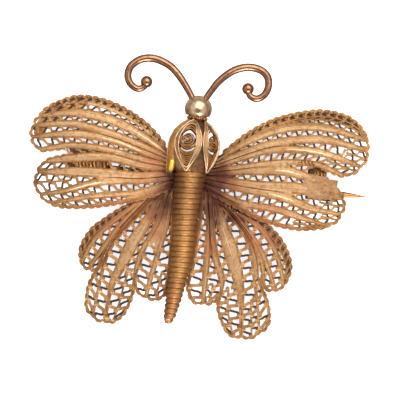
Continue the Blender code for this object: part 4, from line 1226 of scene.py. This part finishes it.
def head():
    """A polished ball with a turned collar and a row of beads below it."""
    metal = Metal()
    collar = thorax_tail_y + thorax_length + 0.3 * MM
    profile = [(collar - 0.6 * MM, 1.0), (collar - 0.1 * MM, 1.25), (collar + 0.1 * MM, 1.4),
               (collar + 0.3 * MM, 1.4), (collar + 0.42 * MM, 1.45)]
    profile = [(y, r * MM) for y, r in profile]
    start = math.acos((head_y - collar - 0.5 * MM) / head_radius)
    steps = 28
    for k in range(steps + 1):
        turn = start + (math.pi * 0.995 - start) * k / steps
        profile.append((head_y - head_radius * math.cos(turn), head_radius * math.sin(turn)))
    loops = [[Vector((r * math.sin(a), y, body_height + r * math.cos(a))) for a in ring(56)]
             for y, r in profile]
    metal.skin(loops)
    declare(metal.piece("head_ball", [polished_gilt]), "head", slot_name="polished_gilt")
    beads = Paths(gauge="FLOAT")
    beads.line([Vector((1.4 * MM * math.sin(a), collar + 0.05 * MM, body_height + 1.4 * MM * math.cos(a)))
                for a in ring(14)], gauge=0.3 * MM)
    declare(beads.made_with(beaded, "neck_beads", border_gilt), slot_name="polished_gilt")


def antenna(name, side, points):
    """A polished half-round wire that curls from the head to a ball."""
    centre = Vector((0, head_y, body_height))
    route = [centre + Vector((out * side, up, 0)) * antenna_reach for out, up in points]
    start = centre + (route[0] - centre).normalized() * head_radius * 0.9
    ball = route[-1]
    path = smooth_points([start] + route, [k / 120 for k in range(121)])
    path = [p for p in path if (p - ball).length > antenna_ball_radius * 0.6]
    metal = Metal()
    loops = []
    for k, place in enumerate(path):
        ahead = (path[min(k + 1, len(path) - 1)] - path[max(k - 1, 0)]).normalized()
        across = ahead.cross(UP)
        thick = antenna_wire_radius * (1.08 + 0.28 * math.sin(math.pi * k / len(path)))
        loop = []
        for a in ring(20):
            rise = math.sin(a)
            loop.append(place + (across * math.cos(a) + UP * (rise if rise > 0 else rise * 0.6)) * thick)
        loops.append(loop)
    metal.skin(loops)
    loops = []
    for k in range(25):
        turn = math.pi * (0.02 + 0.96 * k / 24)
        wide = antenna_ball_radius * math.sin(turn)
        low = -antenna_ball_radius * math.cos(turn)
        loops.append([ball + Vector((wide * math.cos(a), wide * math.sin(a), low)) for a in ring(32)])
    metal.skin(loops)
    declare(metal.piece(name + "_wire", [antenna_gilt]), name, slot_name="polished_gilt")


def catch_seat():
    """The scraped plate that the catch is soldered to, in the right forewing."""
    metal = Metal()
    loops = []
    steps = 30
    for k in range(steps + 1):
        x = CATCH_SEAT[0][0] + (CATCH_SEAT[-1][0] - CATCH_SEAT[0][0]) * k / steps
        low, high = between(CATCH_SEAT, x, 1), between(CATCH_SEAT, x, 2)
        ragged = 0.12 * math.sin(x * 7) + 0.08 * math.sin(x * 17)
        row = [(x * MM, (low - ragged + (high - low + 2 * ragged) * j / 12) * MM) for j in range(13)]
        top = [Vector((a, b, forewing_underside(a, b) + 0.66 * MM
                       + 0.05 * MM * math.sin(a / MM * 3 + b / MM * 2))) for a, b in row]
        under = [Vector((a, b, forewing_underside(a, b) + 0.4 * MM)) for a, b in (row[-1], row[0])]
        loops.append(top + under)
    # The plate's sides and underside take the dull gilt: painted shade.
    metal.skin(loops, [0] * 12 + [1] * 3)
    declare(metal.piece("catch_seat", [seat_gilt, dull_gilt_and_shade]))


def root_web(fore, hind):
    """Brown metal that closes the space between the right wings near their roots."""
    metal = Metal()
    loops = []
    for k in range(2, int(0.30 * STATIONS)):
        a, b = fore.back[-1][k], hind.back[-1][k]
        row = [a.lerp(b, j / 4) for j in range(5)]
        low = min(fore.underside(a.x, a.y), hind.underside(b.x, b.y))
        loops.append([Vector((p.x, p.y, low + 0.3 * MM)) for p in row]
                     + [Vector((p.x, p.y, low + 0.1 * MM)) for p in (row[-1], row[0])])
    metal.skin(loops)
    declare(metal.piece("root_web_right", [border_gilt]))


def rough_coils(wing_left, wing_right):
    """Rough brown coils in the forewings: over the hinge at the left, and at the right along the lobe's
    edge over the catch and in front of the catch's seat."""
    coils = Paths(radius="FLOAT")
    stations = range(int(0.50 * STATIONS), int(0.77 * STATIONS))
    line = [wing_left.height(wing_left.inside(5, 0.5, k), 0.42 * MM) for k in stations]
    radius = [(wing_left.back[5][k] - wing_left.front[6][k]).length * 0.36 for k in stations]
    coils.line(line, radius=radius)
    stations = range(int(0.66 * STATIONS), int(0.80 * STATIONS))
    line = [wing_right.height(wing_right.lines[4][k], 0.55 * MM) for k in stations]
    coils.line(line, radius=0.24 * MM)
    line = [Vector(((19.6 + 0.1 * k) * MM, (2.95 - 0.012 * k) * MM, 0)) for k in range(19)]
    coils.line([wing_right.height(p, 0.5 * MM) for p in line], radius=0.16 * MM)
    declare(coils.made_with(wound, "hinge_and_catch_coils", border_gilt, Pitch=0.55 * MM,
                            Gauge=0.22 * MM))


def pin():
    """The pin: round wire with a tapered point, beaten flat at its end into an eye round the rivet."""
    pivot = pin_pivot - body_place
    across = Vector((0, math.cos(path_tilt), -math.sin(path_tilt)))
    rise = Vector((0, math.sin(path_tilt), math.cos(path_tilt)))
    along = Vector((1, 0, 0))
    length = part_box("pin_stem")[1][0] - pin_pivot.x
    stations = [((eye_radius + eye_bore) / 2, stem_radius * 0.9), (eye_radius * 1.6, stem_radius)]
    for k in range(13):
        share = k / 12
        wide = stem_radius + (stem_tip_radius - stem_radius) * share ** 1.6
        stations.append((length - stem_taper * (1 - share), wide))
    metal = Metal()
    loops = [[pivot + along * x + (across * math.cos(a) + rise * math.sin(a)) * r for a in ring(20)]
             for x, r in stations]
    metal.skin(loops)
    half = eye_width / 2
    worn = 0.08 * MM
    section = [(eye_bore, half - worn), (eye_bore + worn, half), (eye_radius - worn, half),
               (eye_radius, half - worn)]
    section += [(r, -w) for r, w in reversed(section)]
    loops = [[pivot + (along * math.cos(a) + rise * math.sin(a)) * r + across * w for r, w in section]
             for a in ring(40)]
    metal.skin(loops, closed=True)
    declare(metal.piece("pin_wire", [pin_gilt]), "pin_stem", slot_name="pin_gilt", body="pin")


def finish_solids():
    """Gives the solids that stay in view their finish."""
    for name in ("hinge", "catch"):
        for place in frame["nodes"][name].material_slots:
            place.material = border_gilt


def stage_and_lights():
    """A plain pale floor, soft studio light and the camera above."""
    scene = bpy.context.scene
    scene.view_settings.view_transform = "Standard"
    mesh = bpy.data.meshes.new("floor")
    half = 0.6
    corners = [(-half, -half, 0), (half, -half, 0), (half, half, 0), (-half, half, 0)]
    mesh.from_pydata(corners, [], [(0, 1, 2, 3)])
    floor = bpy.data.objects.new("floor", mesh)
    bpy.context.collection.objects.link(floor)
    paper = bpy.data.materials.new("white_paper_lit_from_below")
    paper.use_nodes = True
    tree = paper.node_tree
    tree.nodes.clear()
    # The camera sees white paper, and the metal mirrors it as the grey of a room
    seen = node(tree, "ShaderNodeLightPath", out="Is Camera Ray")
    white = node(tree, "ShaderNodeBsdfPrincipled",
                 {"Base Color": (0.9, 0.9, 0.9, 1), "Roughness": 0.9,
                  "Emission Color": (1, 1, 1, 1), "Emission Strength": 0.75})
    grey = node(tree, "ShaderNodeBsdfDiffuse", {"Color": (0.4, 0.4, 0.4, 1)})
    both = node(tree, "ShaderNodeMixShader", {0: seen, 1: grey, 2: white})
    node(tree, "ShaderNodeOutputMaterial", {"Surface": both})
    mesh.materials.append(paper)
    world = bpy.data.worlds.new("studio")
    scene.world = world
    world.use_nodes = True
    tree = world.node_tree
    tree.nodes.clear()
    way = node(tree, "ShaderNodeTexCoord", out="Generated")
    rise = node(tree, "ShaderNodeSeparateXYZ", {0: way}, out="Z")
    lens_way = (0.03, -0.26, 0.965)
    near = node(tree, "ShaderNodeVectorMath", {0: way, 1: lens_way}, operation="DOT_PRODUCT", out="Value")
    tent = node(tree, "ShaderNodeMapRange", {"Value": rise, "From Min": 0.05, "From Max": 0.6,
                                             "To Min": 0.2, "To Max": 0.92})
    lens = node(tree, "ShaderNodeMapRange", {"Value": near, "From Min": 0.86, "From Max": 0.94,
                                             "To Min": 1.0, "To Max": 0.05})
    strength = node(tree, "ShaderNodeMath", {0: tent, 1: lens}, operation="MULTIPLY")
    sky = node(tree, "ShaderNodeBackground", {"Color": (0.97, 0.98, 1.0, 1), "Strength": strength})
    node(tree, "ShaderNodeOutputWorld", {"Surface": sky})
    for name, place, size, power in (("softbox_key", (0.08, 0.26, 0.42), 0.5, 2.12),
                                     ("softbox_fill", (0.12, -0.46, 0.3), 0.3, 2.3)):
        light = bpy.data.lights.new(name, "AREA")
        light.energy = power
        light.size = size
        lamp = bpy.data.objects.new(name, light)
        bpy.context.collection.objects.link(lamp)
        lamp.location = place
        lamp.rotation_euler = (-Vector(place)).to_track_quat("-Z", "Y").to_euler()
    camera = bpy.data.cameras.new("camera")
    camera.lens = 150
    field = 64 * MM
    level = 4 * MM
    eye = bpy.data.objects.new("camera", camera)
    bpy.context.collection.objects.link(eye)
    aim = body_place + Vector((1.90, -3.50, 0)) * MM
    eye.location = (aim.x, aim.y, level + field * camera.lens / camera.sensor_width)
    eye.rotation_euler = (0, 0, math.radians(6.5))
    camera.clip_start, camera.clip_end = 0.01, 10
    scene.camera = eye


stage_and_lights()
fore, hind = forewing_roots(), hindwing_roots()
fore_dive = (-0.9 * MM, 0.0, -0.45 * MM)
hind_dive = (-0.2 * MM, 1.6 * MM, -0.6 * MM)
wings = [
    Wing("forewing_right", 1, FOREWING_RIGHT, FOREWING_RIGHT_NETS, fore, fore_dive, forewing_underside, 11),
    Wing("forewing_left", -1, FOREWING_LEFT, FOREWING_LEFT_NETS, fore, fore_dive, forewing_underside, 12),
    Wing("hindwing_right", 1, HINDWING_RIGHT, HINDWING_RIGHT_NETS, hind, hind_dive, hindwing_underside, 13),
    Wing("hindwing_left", -1, HINDWING_LEFT, HINDWING_LEFT_NETS, hind, hind_dive, hindwing_underside, 14),
]
for wing in wings:
    wing.build()
abdomen()
thorax()
head()
antenna("antenna_left", -1, ANTENNA_LEFT)
antenna("antenna_right", 1, ANTENNA_RIGHT)
catch_seat()
root_web(wings[0], wings[2])
rough_coils(wings[1], wings[0])
pin()
finish_solids()
